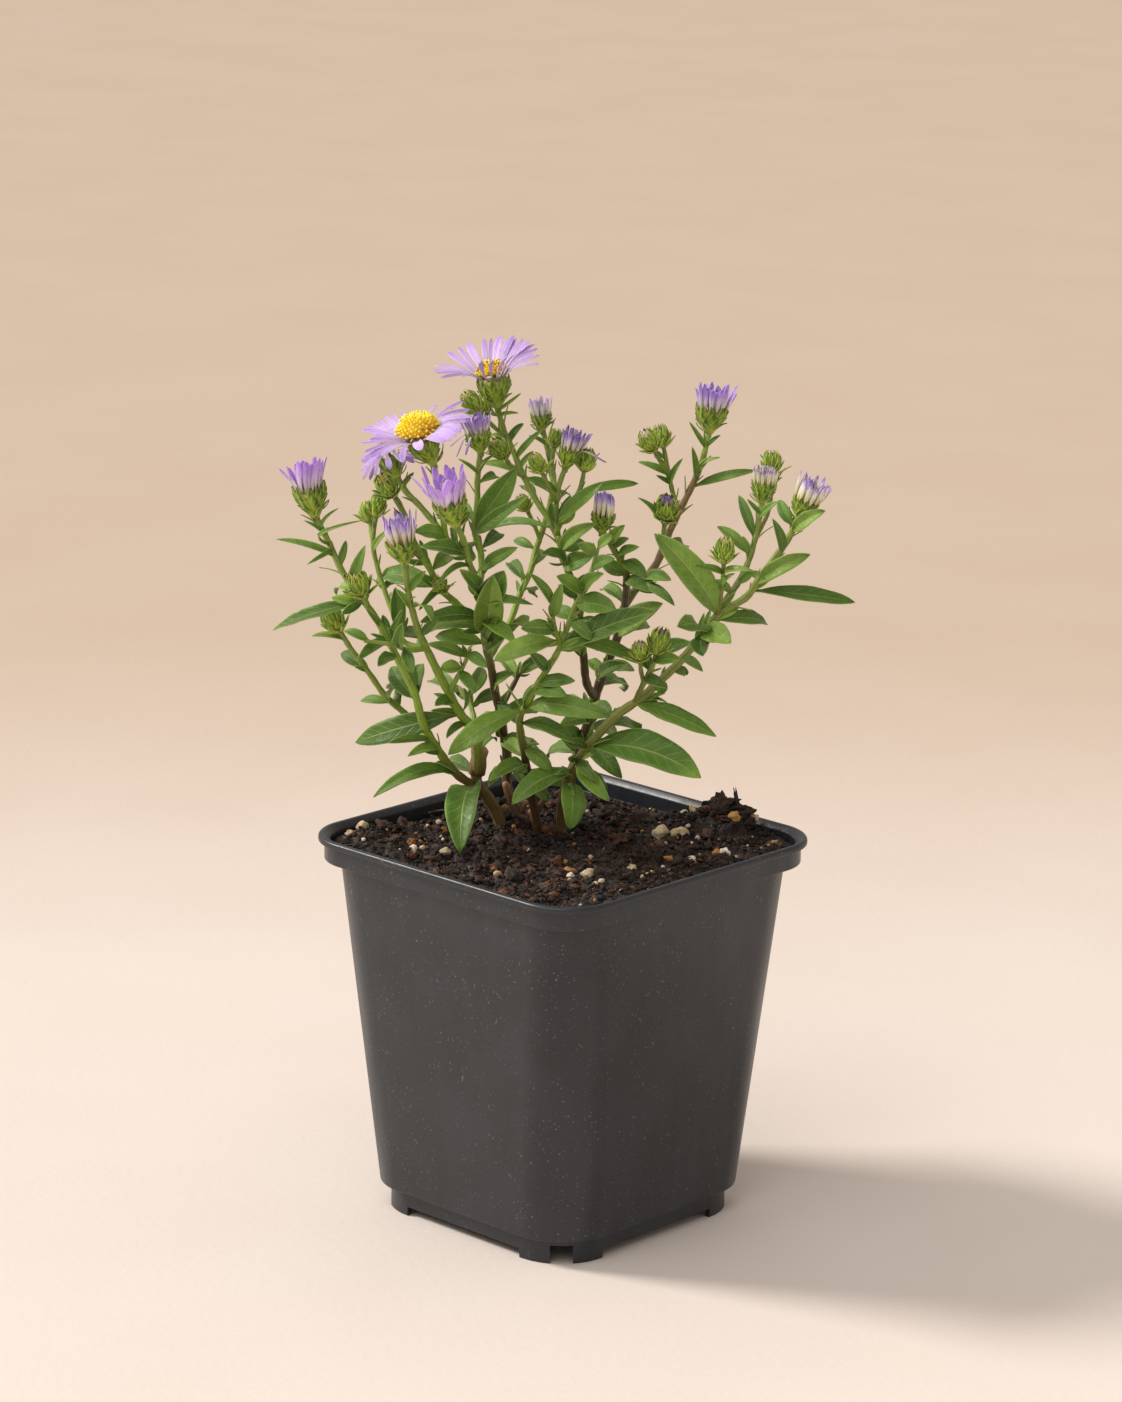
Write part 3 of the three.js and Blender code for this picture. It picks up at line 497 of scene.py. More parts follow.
class Node(Enum):
    """Nodes of the materials: kind, the inputs that get values, the output and the settings."""

    PLACE = ("TexCoord", (), "Object", {})
    STRETCH = ("Mapping", (0, 3), 0, {})
    DOT = ("VectorMath", (0, 1), 1, {"operation": "DOT_PRODUCT"})
    LIE = ("Attribute", (), "Vector", {"attribute_name": "lay"})
    ALONG = ("SeparateXYZ", (0,), 0, {})
    ACROSS = ("SeparateXYZ", (0,), 1, {})
    TINT = ("Attribute", (), "Color", {"attribute_name": "tint"})
    NOISE = ("TexNoise", ("Vector", "Scale", "Detail"), "Fac", {})
    STEP = ("MapRange", (0, 1, 2, 3, 4), 0, {"interpolation_type": "SMOOTHSTEP"})
    MIX = ("Mix", (0, 6, 7), 2, {"data_type": "RGBA"})
    STAIN = ("Mix", (0, 6, 7), 2, {"data_type": "RGBA", "blend_type": "MULTIPLY"})
    TIMES = ("Math", (0, 1), 0, {"operation": "MULTIPLY"})
    TIMES_PLUS = ("Math", (0, 1, 2), 0, {"operation": "MULTIPLY_ADD"})
    PLUS = ("Math", (0, 1), 0, {"operation": "ADD"})
    MINUS = ("Math", (0, 1), 0, {"operation": "SUBTRACT"})
    LARGER = ("Math", (0, 1), 0, {"operation": "MAXIMUM"})
    SIZE = ("Math", (0,), 0, {"operation": "ABSOLUTE"})
    FOLD = ("Math", (0, 1), 0, {"operation": "PINGPONG"})
    BUMP = ("Bump", ("Height", "Distance", "Strength"), 0, {})


class Surface:
    """A material under way: its tree, its shader and the steps that most finishes share."""

    def __init__(self, name: str, **shader: float | tuple[float, float, float]) -> None:
        """Starts a material.

        Args:
            name: name of the real material.
            shader: values for the shader's sockets, with _ for a space.
        """
        self.material = bpy.data.materials.new(name)
        self.material.use_nodes = True
        self.tree = self.material.node_tree
        self.shader = self.tree.nodes["Principled BSDF"]
        for key, value in shader.items():
            self.shader.inputs[key.replace("_", " ")].default_value = value

    def add(self, node: Node, *values: object) -> Socket:
        """Adds a node with its settings and links.

        Args:
            node: which one.
            values: a value or another node's output for each of its inputs.

        Returns:
            Its output.
        """
        kind, inputs, output, settings = node.value
        made = self.tree.nodes.new("ShaderNode" + kind)
        for name, setting in settings.items():
            setattr(made, name, setting)
        for place, value in zip(inputs, values):
            if isinstance(value, Socket):
                self.tree.links.new(value, made.inputs[place])
            else:
                made.inputs[place].default_value = value
        return made.outputs[output]

    def fade(self, value: object, low: float, high: float, first: object, second: object,
             most: float = 1.0) -> Socket:
        """Goes from the first colour toward the second as a value rises from low to high.

        Args:
            value: what decides it.
            low: value where the first colour ends.
            high: value where the second is reached.
            first: colour below low.
            second: colour above high.
            most: share of the second colour above high.

        Returns:
            The colour.
        """
        return self.add(Node.MIX, self.add(Node.STEP, value, low, high, 0.0, most), first, second)

    def tint(self, shade: object) -> tuple[Socket, Socket]:
        """Each vertex's own colour, and the same multiplied with a shade."""
        tint = self.add(Node.TINT)
        return tint, self.add(Node.STAIN, 1.0, tint, shade)

    def lie(self) -> tuple[Socket, Socket]:
        """Where a place lies along its blade or stem, and where across or round it."""
        lay = self.add(Node.LIE)
        return self.add(Node.ALONG, lay), self.add(Node.ACROSS, lay)

    def grain(self, cell_mm: float, detail: float = 3.0,
              coordinate: object | None = None) -> Socket:
        """Noise with cells of a real size.

        Args:
            cell_mm: size of a cell in millimetres.
            detail: number of finer layers.
            coordinate: where it is read, or None for the object's own place.

        Returns:
            Noise value around 0.5.
        """
        where = coordinate or self.add(Node.PLACE)
        return self.add(Node.NOISE, where, 1 / (cell_mm * MM), detail)

    def colour(self, value: Socket) -> None:
        """Sends a colour to the shader."""
        self.tree.links.new(value, self.shader.inputs["Base Color"])

    def roughness(self, value: object, low: float, high: float, first: float,
                  second: float) -> None:
        """Sends a smooth step of a value to the shader's roughness.

        Args:
            value: what decides it.
            low: value up to which it is the first roughness.
            high: value from which it is the second.
            first: roughness below low.
            second: roughness above high.
        """
        stepped = self.add(Node.STEP, value, low, high, first, second)
        self.tree.links.new(stepped, self.shader.inputs["Roughness"])

    def relief(self, height: object, depth_mm: float, strength: float = 1.0) -> None:
        """Sends a height to the shader's normal.

        Args:
            height: height from 0 to 1.
            depth_mm: what 1 stands for.
            strength: how much of it shows.
        """
        bump = self.add(Node.BUMP, height, depth_mm * MM, strength)
        self.tree.links.new(bump, self.shader.inputs["Normal"])


@dataclass(frozen=True)
class MouldedPolypropylene:
    """Black nursery pot plastic, injection moulded: satin, with a thin film of pale dust."""

    plastic: str = "1e2227"
    worn: str = "262a30"
    dust: str = "8d8a86"

    def material(self) -> bpy.types.Material:
        """Mottled black with pale specks and faint flow marks from top to bottom.

        Returns:
            The finished material.
        """
        look = Surface("moulded_polypropylene", IOR=1.49, Specular_IOR_Level=0.5)
        where = look.add(Node.PLACE)
        flow = look.add(Node.STRETCH, where, (1.0, 1.0, 0.12))
        streak = look.grain(5.0, 4.0, flow)
        cloud = look.grain(24.0, 3.0)
        tone = look.fade(cloud, 0.35, 0.7, linear(self.plastic), linear(self.worn))
        # Specks of dust and lime, 0.3 mm, drawn at twice their size to show
        speck = look.add(Node.STEP, look.grain(0.8, 1.0), 0.66, 0.74)
        patch = look.add(Node.STEP, look.grain(9.0, 2.0), 0.4, 0.62, 0.1, 0.4)
        dusty = look.add(Node.TIMES, speck, patch)
        look.colour(look.add(Node.MIX, dusty, tone, linear(self.dust)))
        look.roughness(streak, 0.3, 0.7, 0.34, 0.44)
        look.relief(look.grain(0.55, 2.0), 0.02, 0.5)
        return look.material


@dataclass(frozen=True)
class MoistPeat:
    """Damp peat and composted bark: nearly black brown, crumbly, matt with a few damp glints."""

    name: str = "moist_peat"
    wet: Colour = (0.24, 0.22, 0.21, 1.0)

    def material(self) -> bpy.types.Material:
        """Three sizes of crumb over each lump's own tint.

        Returns:
            The finished material.
        """
        look = Surface(self.name)
        tint, deep = look.tint(self.wet)
        clod = look.grain(4.0, 5.0)
        crumb = look.grain(0.8, 4.0)
        tone = look.fade(crumb, 0.4, 0.58, deep, tint)
        look.colour(look.fade(clod, 0.45, 0.7, tone, deep, 0.5))
        look.roughness(clod, 0.35, 0.6, 0.6, 0.95)
        look.relief(crumb, 0.6)
        return look.material


@dataclass(frozen=True)
class Bark:
    """Composted pine bark: fibrous orange-brown flakes with dark edges."""

    name: str = "composted_bark"
    shade: Colour = (0.3, 0.26, 0.24, 1.0)

    def material(self) -> bpy.types.Material:
        """Fibres 0.4 mm apart over each flake's own tint.

        Returns:
            The finished material.
        """
        look = Surface(self.name)
        tint, deep = look.tint(self.shade)
        patch = look.grain(1.6, 4.0)
        fibre = look.grain(0.4, 3.0)
        tone = look.fade(patch, 0.38, 0.62, deep, tint)
        look.colour(look.fade(fibre, 0.45, 0.7, tone, deep, 0.6))
        look.roughness(patch, 0.3, 0.7, 0.7, 0.92)
        look.relief(fibre, 0.3)
        return look.material


@dataclass(frozen=True)
class Pumice:
    """Pumice grains: cream to grey stone froth, chalky, stained by the peat."""

    name: str = "pumice_grain"
    stain: Colour = (0.62, 0.42, 0.24, 1.0)

    def material(self) -> bpy.types.Material:
        """Brown stains and open pores over each grain's own tint.

        Returns:
            The finished material.
        """
        look = Surface(self.name)
        tint, brown = look.tint(self.stain)
        stain = look.grain(1.6, 4.0)
        pore = look.grain(0.35, 2.0)
        tone = look.fade(stain, 0.46, 0.7, tint, brown, 0.8)
        look.colour(look.fade(pore, 0.5, 0.72, tone, brown, 0.5))
        look.roughness(pore, 0.3, 0.7, 0.8, 0.95)
        look.relief(pore, 0.25)
        return look.material


@dataclass(frozen=True)
class LeafTissue:
    """Leaf blade: satin green skin with a thin pale midrib, faint side veins and a pale edge."""

    name: str
    vein: str
    vein_share: float
    rough: float
    film: str = ""
    film_share: float = 0.45
    veins_each_side: float = 10.0
    shade: Colour = (0.66, 0.74, 0.6, 1.0)

    def material(self) -> bpy.types.Material:
        """Ribs and veins by the blade's own lie, over a mottled tint.

        Returns:
            The finished material.
        """
        look = Surface(self.name, Subsurface_Weight=0.2, Subsurface_Scale=0.001,
                       Subsurface_Radius=(0.6, 1.0, 0.15), Specular_IOR_Level=0.36)
        along, sideways = look.lie()
        across = look.add(Node.SIZE, sideways)
        rib = look.add(Node.STEP, across, 0.02, 0.09, 1.0, 0.0)
        edge = look.add(Node.STEP, across, 0.9, 1.0)
        # Side veins leave the midrib at even steps and bend to the tip
        spread = look.add(Node.TIMES, along, self.veins_each_side)
        phase = look.add(Node.TIMES_PLUS, across, -1.5, spread)
        net = look.add(Node.STEP, look.add(Node.FOLD, phase, 0.5), 0.0, 0.16, 1.0, 0.0)
        side = look.add(Node.TIMES, net, look.add(Node.STEP, across, 0.7, 1.0, 1.0, 0.0))
        # One half of a blade is painted a little darker and the other a little lighter: painted
        # shade and painted light, as a fold turns the halves from and toward the light
        shaded_halves = look.tint(look.add(Node.STEP, sideways, -0.05, 0.05, 0.86, 1.1))[1]
        if self.film:
            shaded_halves = look.add(Node.MIX, self.film_share, shaded_halves, linear(self.film))
        mottle = look.grain(2.2, 4.0)
        fine = look.grain(0.6, 2.0)
        dark = look.add(Node.STAIN, 1.0, shaded_halves, self.shade)
        varied = look.fade(mottle, 0.32, 0.72, shaded_halves, dark, 0.6)
        varied = look.fade(fine, 0.42, 0.7, varied, dark, 0.35)
        faint = look.add(Node.TIMES, side, 0.3)
        veins = look.add(Node.LARGER, faint, look.add(Node.TIMES, edge, 0.75))
        pale = look.add(Node.TIMES, look.add(Node.LARGER, rib, veins), self.vein_share)
        look.colour(look.add(Node.MIX, pale, varied, linear(self.vein)))
        look.roughness(mottle, 0.3, 0.7, self.rough - 0.07, self.rough + 0.12)
        sunk = look.add(Node.LARGER, rib, look.add(Node.TIMES, side, 0.5))
        look.relief(look.add(Node.MINUS, look.add(Node.TIMES, fine, 0.5), sunk), 0.16)
        return look.material


@dataclass(frozen=True)
class BractScale:
    """Bracts of cups and buds: leathery green scales, yellow-green at foot and edge."""

    name: str = "bract_scale"
    edge: str = "c0cc4c"
    shade: Colour = (0.26, 0.36, 0.22, 1.0)

    def material(self) -> bpy.types.Material:
        """A dark green diamond in the middle of each scale, matt with a few short hairs' sheen.

        Returns:
            The finished material.
        """
        look = Surface(self.name, Subsurface_Weight=0.12, Subsurface_Scale=0.001,
                       Sheen_Weight=0.1, Sheen_Roughness=0.4)
        tint, deep = look.tint(self.shade)
        along, sideways = look.lie()
        across = look.add(Node.SIZE, sideways)
        inner = look.add(Node.STEP, across, 0.2, 0.75, 1.0, 0.0)
        middle = look.add(Node.TIMES, inner, look.add(Node.STEP, along, 0.25, 0.6))
        grain = look.grain(0.7, 3.0)
        tone = look.add(Node.MIX, look.add(Node.TIMES, middle, 0.85), tint, deep)
        outer = look.add(Node.STEP, across, 0.72, 1.0, 0.0, 0.5)
        rim = look.add(Node.TIMES, outer, look.add(Node.STEP, along, 0.95, 0.6))
        tone = look.add(Node.MIX, rim, tone, linear(self.edge))
        look.colour(look.fade(grain, 0.4, 0.75, tone, deep, 0.3))
        look.roughness(grain, 0.3, 0.7, 0.5, 0.7)
        look.relief(grain, 0.12)
        return look.material


@dataclass(frozen=True)
class StemSkin:
    """Stem skin: ribbed green, brown and woody low down, with a dull sheen of short hairs."""

    name: str = "stem_skin"
    ribs: float = 7.0
    shade: Colour = (0.7, 0.66, 0.5, 1.0)

    def material(self) -> bpy.types.Material:
        """Ribs run round the stem's own lie, over a patchy tint.

        Returns:
            The finished material.
        """
        look = Surface(self.name, Subsurface_Weight=0.1, Subsurface_Scale=0.001,
                       Sheen_Weight=0.12, Sheen_Roughness=0.4)
        tint, dark = look.tint(self.shade)
        around = look.lie()[1]
        rib = look.add(Node.FOLD, look.add(Node.TIMES, around, self.ribs), 0.5)
        patch = look.grain(1.8, 4.0)
        tone = look.fade(patch, 0.4, 0.75, tint, dark, 0.55)
        # The grooves between the ribs are painted darker: painted shade in the grooves
        look.colour(look.add(Node.MIX, look.add(Node.STEP, rib, 0.0, 0.25, 0.4, 0.0), tone, dark))
        look.roughness(patch, 0.3, 0.7, 0.46, 0.66)
        raised = look.add(Node.STEP, rib, 0.0, 0.3)
        look.relief(look.add(Node.PLUS, raised, look.add(Node.TIMES, patch, 0.5)), 0.12)
        return look.material


@dataclass(frozen=True)
class RayPetal:
    """Ray petal: silky, thin, with fine lengthwise lines that catch the light."""

    name: str = "ray_petal"
    lines: float = 2.5
    shade: Colour = (0.74, 0.6, 0.86, 1.0)
    edge: Colour = (0.92, 0.86, 0.97, 1.0)

    def material(self) -> bpy.types.Material:
        """Five sunken lines along the ray, painted darker in their grooves as shade, over the tint
        that runs from its foot to its tip.

        Returns:
            The finished material.
        """
        look = Surface(self.name, Subsurface_Weight=0.3, Subsurface_Scale=0.0015,
                       Subsurface_Radius=(0.9, 0.6, 1.0), Sheen_Weight=0.2,
                       Sheen_Roughness=0.35)
        tint, deep = look.tint(self.shade)
        across = look.lie()[1]
        line = look.add(Node.FOLD, look.add(Node.TIMES, across, self.lines), 0.5)
        groove = look.add(Node.STEP, line, 0.0, 0.3, 1.0, 0.0)
        cloud = look.grain(2.5, 3.0)
        tone = look.fade(cloud, 0.35, 0.75, tint, deep, 0.3)
        # Painted shade: the grooves of the lines are drawn darker
        tone = look.add(Node.MIX, look.add(Node.TIMES, groove, 0.45), tone, deep)
        light = look.add(Node.MIX, 0.45, tint, self.edge)
        outer = look.add(Node.SIZE, across)
        look.colour(look.fade(outer, 0.82, 1.0, tone, light, 0.7))
        look.roughness(cloud, 0.3, 0.7, 0.42, 0.58)
        look.relief(look.add(Node.TIMES, groove, -1.0), 0.12)
        return look.material


@dataclass(frozen=True)
class Pollen:
    """Disc florets: waxy yellow tubes with mealy pollen on them."""

    name: str = "disc_floret"
    shade: Colour = (1.0, 0.88, 0.55, 1.0)

    def material(self) -> bpy.types.Material:
        """Grainy yellow from the floret's own tint.

        Returns:
            The finished material.
        """
        look = Surface(self.name, Subsurface_Weight=0.15, Subsurface_Scale=0.001,
                       Subsurface_Radius=(1.0, 0.85, 0.2))
        tint, deep = look.tint(self.shade)
        meal = look.grain(0.3, 3.0)
        look.colour(look.fade(meal, 0.42, 0.7, tint, deep, 0.5))
        look.roughness(meal, 0.3, 0.7, 0.5, 0.75)
        look.relief(meal, 0.1)
        return look.material


@dataclass(frozen=True)
class PalePlaster:
    """Plain pale floor: fine warm plaster, matt, barely mottled."""

    tone: str = "e2d8cf"
    back: str = "c8b5a2"

    def material(self) -> bpy.types.Material:
        """Warm white with a soft cloud, painted darker toward the back: painted shade where the
        light falls off.

        Returns:
            The finished material.
        """
        look = Surface("pale_plaster")
        cloud = look.grain(90.0, 4.0)
        where = look.add(Node.PLACE)
        # Painted shade: the tone deepens toward the back as the light falls off there
        near = look.add(Node.DOT, where, TOWARD)
        tone = look.fade(near, -0.7, -0.1, linear(self.back), linear(self.tone))
        shade = look.add(Node.STAIN, 1.0, tone, (0.97, 0.96, 0.95, 1.0))
        look.colour(look.fade(cloud, 0.3, 0.7, tone, shade))
        look.roughness(cloud, 0.3, 0.7, 0.75, 0.85)
        look.relief(look.grain(3.0, 3.0), 0.3, 0.4)
        return look.material


YELLOW_TUFT = "0 8f9a3c, 0.6 b7b452, 1 cfca78"
MAUVE_TUFT = "0 a39a68, 0.5 7e6c7c, 1 5d4b66"
CREAM_TUFT = "0 b5b060, 0.6 d9d0a0, 1 e6dcc2"
VIOLET_TUFT = "0 c9c08a, 0.5 a98fbd, 1 70529a"
BROWN_TUFT = "0 9a8a50, 0.5 8a6a5a, 1 7a5c70"


@dataclass(frozen=True)
class Shoot:
    """One stem or side shoot: its radii, then its route as seen from the eye."""

    radii: tuple[float, float]
    route: Rows
    rooted: bool = False
    bud: float = 0.0
    tuft: str = YELLOW_TUFT
    skin: str = ""


@dataclass(frozen=True)
class Plant:
    """One leafy stem: its colours, stubs, shoots and leaves.

    Each leaf is written as base across and up, tip across, up and toward, and width. Then come
    the degrees that its face stands up, the arch of its middle as a share of its length and how
    far its face leans to the right, where these depart from the usual. Stubs of cut or dead
    shoots are written as foot across and up, length, radius, lean to the right and colour.
    """

    shoots: list[Shoot]
    leaves: Rows
    bark_top: float
    bark: str = "5a4326"
    green: str = "8cac30"
    stubs: tuple[tuple, ...] = ()


PLANTS: dict[str, Plant] = {
    "left": Plant(
        bark_top=128, bark="7c6638",
        stubs=((-25.2, 131.5, 8.5, 2.3, 1, "a8743c"), (-24.5, 137.5, 3.4, 1.3, -1.2, "b98348"),
               (-19.5, 118.5, 4.2, 0.9, 2.2, "8a6238")),
        shoots=[
            Shoot((1.9, 0.75), rows("""
            -18.5 117.5 -20, -22 124.5 -18, -25.2 129 -16, -25 134 -13, -25 139 -10,
            -26.3 144.4 -7, -30.5 150 -3, -34.7 158 1, -38.9 166.4 5, -42.8 175.3 9,
            -45.7 187 12, -46.5 194.5 13"""), rooted=True),
            Shoot((1.3, 0.8), rows("""
            -24.8 126.8 -17, -31 131.6 -12, -37 139.6 -5, -41 147 0, -43.5 156 3, -47.9 165 4,
            -53.2 175.4 4, -57.7 182.2 4, -64.3 191.4 2, -68.3 200 0, -72.2 208 -1""")),
            Shoot((1, 0.7), rows("""
            -38.5 142.5 -4, -43 146.5 -13, -46.4 149.8 -15, -51.9 154.8 -13, -56 160.7 -10,
            -61.8 168.6 -6, -66.7 176.8 -4"""), bud=3.2, tuft=BROWN_TUFT),
            Shoot((0.8, 0.7), rows("-56.6 180.8 4, -58 183.6 7, -59.5 187.2 9"), bud=3.3),
            Shoot((0.8, 0.6), rows("""
            -40.2 169 6.5, -46.6 171 0, -49.5 178.7 -6, -52 185.5 -10, -54.3 193 -13,
            -55.6 199.7 -14, -54.3 210.6 -15"""), bud=2.5, tuft=MAUVE_TUFT),
            Shoot((0.6, 0.6), rows("-55.3 201 -14, -56.9 208.5 -19"), bud=2.4),
            Shoot((0.8, 0.5), rows("-40 168.5 6, -45 168.5 12, -50 170 16, -58 171 18")),
            Shoot((0.8, 0.5), rows("-33.5 156 0.3, -31 161 8, -29 165 12, -27.5 169 14")),
            Shoot((0.9, 0.6), rows("-26.3 144 -7.5, -27 151.5 -16, -30.5 157.5 -22")),
        ],
        leaves=rows("""
        -25.6 126 -29.9 107.7 14 10 38 0.2 -0.3, -30.4 149.5 -60.4 140.6 -12 7.4 60 0.12 0.55,
        -35.8 138 -45.3 136.7 6 3.5, -31.5 132.2 -55.2 124.2 0 4.5 55 0.24,
        -33 153 -37.5 152 6 4, -58.6 183 -84.2 173.7 0 4.4 45 0.12, -57 162 -64.6 167.2 -16 4,
        -43 154 -50 163.4 -9 5.5 60, -43 154 -41.5 164.3 -12 5 60, -48.5 166 -54 163.5 12 4,
        -47.5 174 -49.2 187 -3 4.5 60, -61 187 -57.8 199.3 12 3.6 60, -51 170.2 -60 165 22 3.5,
        -48 169 -47 176.5 21 3.5 60, -46 168.7 -44 161.5 20 3.5 60, -30 163 -36 163 12 4,
        -28.5 166 -40 170.4 18 3.5, -28 168 -22.6 163.6 20 3.5, -30.5 162 -25.7 156 16 3.5,
        -27.2 152 -20 154.8 -30 4, -30 156.5 -38 159 -38 5, -28.5 154.5 -24 163.5 -33 4.5,
        -25 137 -19.6 141.5 -30 3.6, -25.4 131 -34 134 -36 5, -43.5 157 -48 150 -30 5,
        -51 171.5 -44 168 -24 4.5, -52.3 187 -45.5 190 -34 4.5, -58 183 -66 184.5 -14 3.4,
        -44 180.5 -38.5 177 26 4 60 0.12 0.5, -28.2 146 -34.1 142.3 3 3,
        -38 141 -51.1 140.6 8 2.5, -63.6 171 -73 172.2 -8 2, -50 153 -59 153.1 -20 3,
        -49.3 152 -49.5 157 -8 2.5, -66.3 195.6 -83.2 200.6 -1 2.2,
        -67.3 197.6 -74.4 193.4 8 1.6, -64.9 193 -63.4 200.5 -4 2.4,
        -68.3 200 -58.5 206.6 12 1.4 60 0.4, -55 197.6 -51.1 204 -11 2.2,
        -57 171 -64 173.8 16 3, -45 186 -40.5 192 14 2.6 60, -44 181 -49 186.5 12 2.4 60,
        -41.5 173 -36.5 178.5 10 2.6 60, -53.5 176 -57.5 180.5 8 2.2 60,
        -70 204.5 -65.5 210 2 1.2 60 0.2, -69.5 203 -75.5 206.3 2 1.4 60 0.2"""),
    ),
    "centre_left": Plant(
        bark_top=164, bark="5e4826",
        stubs=((-16, 122, 7.5, 1, -3, "9a6f42"), (-14, 119, 5, 0.8, 2.6, "86603a")),
        shoots=[
            Shoot((1.5, 0.8), rows("""
            -13 118 -22, -16.3 128 -26, -16.5 136 -27, -18.8 150 -22, -20.4 157.3 -17,
            -21.4 163.4 -12, -23 169.8 -7, -24 177 -2, -25 183.8 2, -26.6 190.8 7,
            -28.3 195 11, -30 201.8 18, -32.2 206 23"""), rooted=True),
            Shoot((0.9, 0.8), rows("""
            -28.8 196.3 11.5, -33.2 200 6, -37.6 205.5 2, -42.2 211 -1, -46.5 215.5 -4,
            -48.8 219.5 -6""")),
            Shoot((0.8, 0.9), rows("-35 202.3 4, -36 209 7, -37.3 217 7, -38.8 224 8")),
            Shoot((0.9, 0.8), rows("""
            -25.3 186 4, -24.6 191 0, -25 199 -4, -26.7 204 -6, -25.9 213 -8, -26 218.3 -9,
            -25.2 227.3 -9""")),
            Shoot((1, 0.8), rows("""
            -24 177 -2, -28.7 180 -3, -32.8 183.5 -3, -37 187.5 -2, -39 192 0, -43.8 200 0,
            -45.5 205 1, -48 211 4, -51.5 216.5 9"""), bud=3.2),
            Shoot((0.9, 0.8), rows("""
            -22 166 -10, -20 170 -14, -16.2 177 -20, -13.2 186 -27, -10.5 192.3 -33,
            -9 198.6 -37, -7 205 -38, -5.2 212 -38, -4.2 219 -38, -5.5 226 -38, -7.6 234 -38""")),
            Shoot((0.6, 0.6), rows("-8 202.5 -37.7, -9.6 206 -36, -12.6 212 -34"), bud=2),
            Shoot((0.9, 0.6), rows("-18.8 151 -22, -16 156.5 -26, -12.7 163 -28")),
            Shoot((0.6, 0.6), rows("-33 183.6 -3, -36.3 187.8 4"), bud=2),
        ],
        leaves=rows("""
        -37 186.8 -53.2 190.6 -14 6.5 58, -26.2 205 -15 222.4 -4 7 62 0.06,
        -25.5 202.5 -11.3 214.5 6 4.2 62, -34.4 201.3 -43.9 203.5 10 5 50,
        -28.8 196.5 -42 199 21 5 45, -24 191.7 -14.2 199.3 6 4, -24 182.4 -18 192.4 8 8 65,
        -25.6 184.5 -30.7 192.5 14 4.4 60, -24 177 -42 176.8 8 5 48, -24 174.7 -39 174 -14 4,
        -23.2 171 -37.6 172.5 -10 5 55, -22 168.2 -13.5 176.5 5 5 60,
        -23.8 178 -14.5 171 12 5 55, -20 157 -14.5 162 -6 4.5, -17.6 143 -5.9 137 -6 5.4 46,
        -23.4 173 -21.2 191 12 8.4 68 0.06, -16.8 133 -11 127 -8 4.4 45,
        -18.9 150.5 -8.5 151 -34 5, -17.8 145 -24 149.5 -36 5, -16.6 137 -7.5 141 -38 4.5,
        -16.5 133 -21.9 127.8 -10 4, -13.5 161.5 -6.5 165.5 -34 4.5, -14 160 -19 165.5 -38 4.5,
        -13.3 186 -8.5 184.5 -42 4, -12 189.5 -16.5 194.5 -44 4, -16.5 176.8 -11 174 -34 5,
        -10.4 193 -5 197.5 -46 4.5, -39 191 -33.5 196.5 -14 4.4, -41 195 -46.5 198 -18 4,
        -25 199 -19.5 203 -20 4, -26.3 207 -32 211 -20 4, -32.5 199.3 -27 195 -12 4,
        -19.3 153 -12 146 -10 3.5, -37 187 -42.4 180.3 6 2.2,
        -27.5 193 -37.5 187 16 2.4 40 0.35, -24.3 180.6 -9.6 182.5 10 3 50 0.2,
        -23.1 170.8 -19.5 178.5 6 3, -9 198.8 -15.2 201.5 -44 3, -5.2 212.5 0.4 214.8 -48 3,
        -4.3 219.5 -9.8 223 -48 3, -5.8 227 -2 231 -50 2, -26 217.5 -20.5 219.5 -22 3,
        -45 204.5 -50.5 204 -16 3, -26.5 221 -31.5 225 -8 1.3 60 0.2,
        -25.6 222 -21 226.5 -8 1.2 60 0.2, -32 204.5 -27.8 209.5 22 2 60,
        -36.8 214.5 -33 218.5 8 1.4 60 0.2, -47.5 217 -44 220.8 -6 1.6 60,
        -6.5 230 -11.5 232 -38 1.4 60 0.2"""),
    ),
    "centre": Plant(
        bark_top=138, green="84a030",
        stubs=((-8.5, 119, 6.5, 0.9, 3.4, "8a6640"), (-7.5, 116.5, 4.5, 1.4, -1.6, "9c6c3e")),
        shoots=[
            Shoot((1.4, 0.6), rows("""
            -7.5 116.2 -16, -9.5 126 -12, -11.5 138 -4, -13 148.6 3, -10.5 153.6 8,
            -7.6 159.5 10, -3.8 165.8 12, -1.9 169.5 13, 0.7 176.8 13, 2.5 182.4 12,
            5.6 187.8 10, 7.5 194.3 7, 8.6 199 4"""), rooted=True),
            Shoot((0.7, 0.5), rows("-1.6 170.5 13, -3.6 177 17, -4 183 19")),
        ],
        leaves=rows("""
        -10.5 134 -21.6 129.6 6 4.8 42 0.2, -11.5 140 -3.5 133 2 4.4 48,
        -11.5 151 -33.6 137.3 12 6.6 50 0.12, -12.7 147 3 141.3 12 5 50,
        -11 136 -17 141 -20 4.4 50, -9.8 129 -4.5 124 -12 4 45,
        -11.5 152 13 149.3 18 6.5 52 0.15, -9.5 156 0.5 155.5 20 5, -7.6 159.5 2.8 160 17 4.4,
        -2.3 172 -20.7 165.6 19 6 50, -2.2 169.5 25.4 181 22 7.4 52 0.05,
        -1 171.5 21.7 165.4 5 4.5 48, -3.2 175.5 -13 175.4 22 5, -3.9 179 -1.5 189 22 3.4 60,
        2.5 182.4 14.2 181.5 18 6.5 58, 5.4 187.5 10.5 192 18 4.4 60, 4.5 186 -3 191 16 4.4,
        7.2 193 13.6 196.4 12 4, 8 197 3 200.5 8 3.6, 1 177.5 7.5 172 20 4,
        -5.6 163 -10.5 168.5 19 3.6, -3.9 181.5 -10.7 191.7 24 3, 8.6 198.8 12.5 203.5 2 3"""),
    ),
    "right": Plant(
        bark_top=186, bark="54421f", green="80982c",
        stubs=((0.5, 124, 5, 0.9, 2.4, "8a6640"),),
        shoots=[
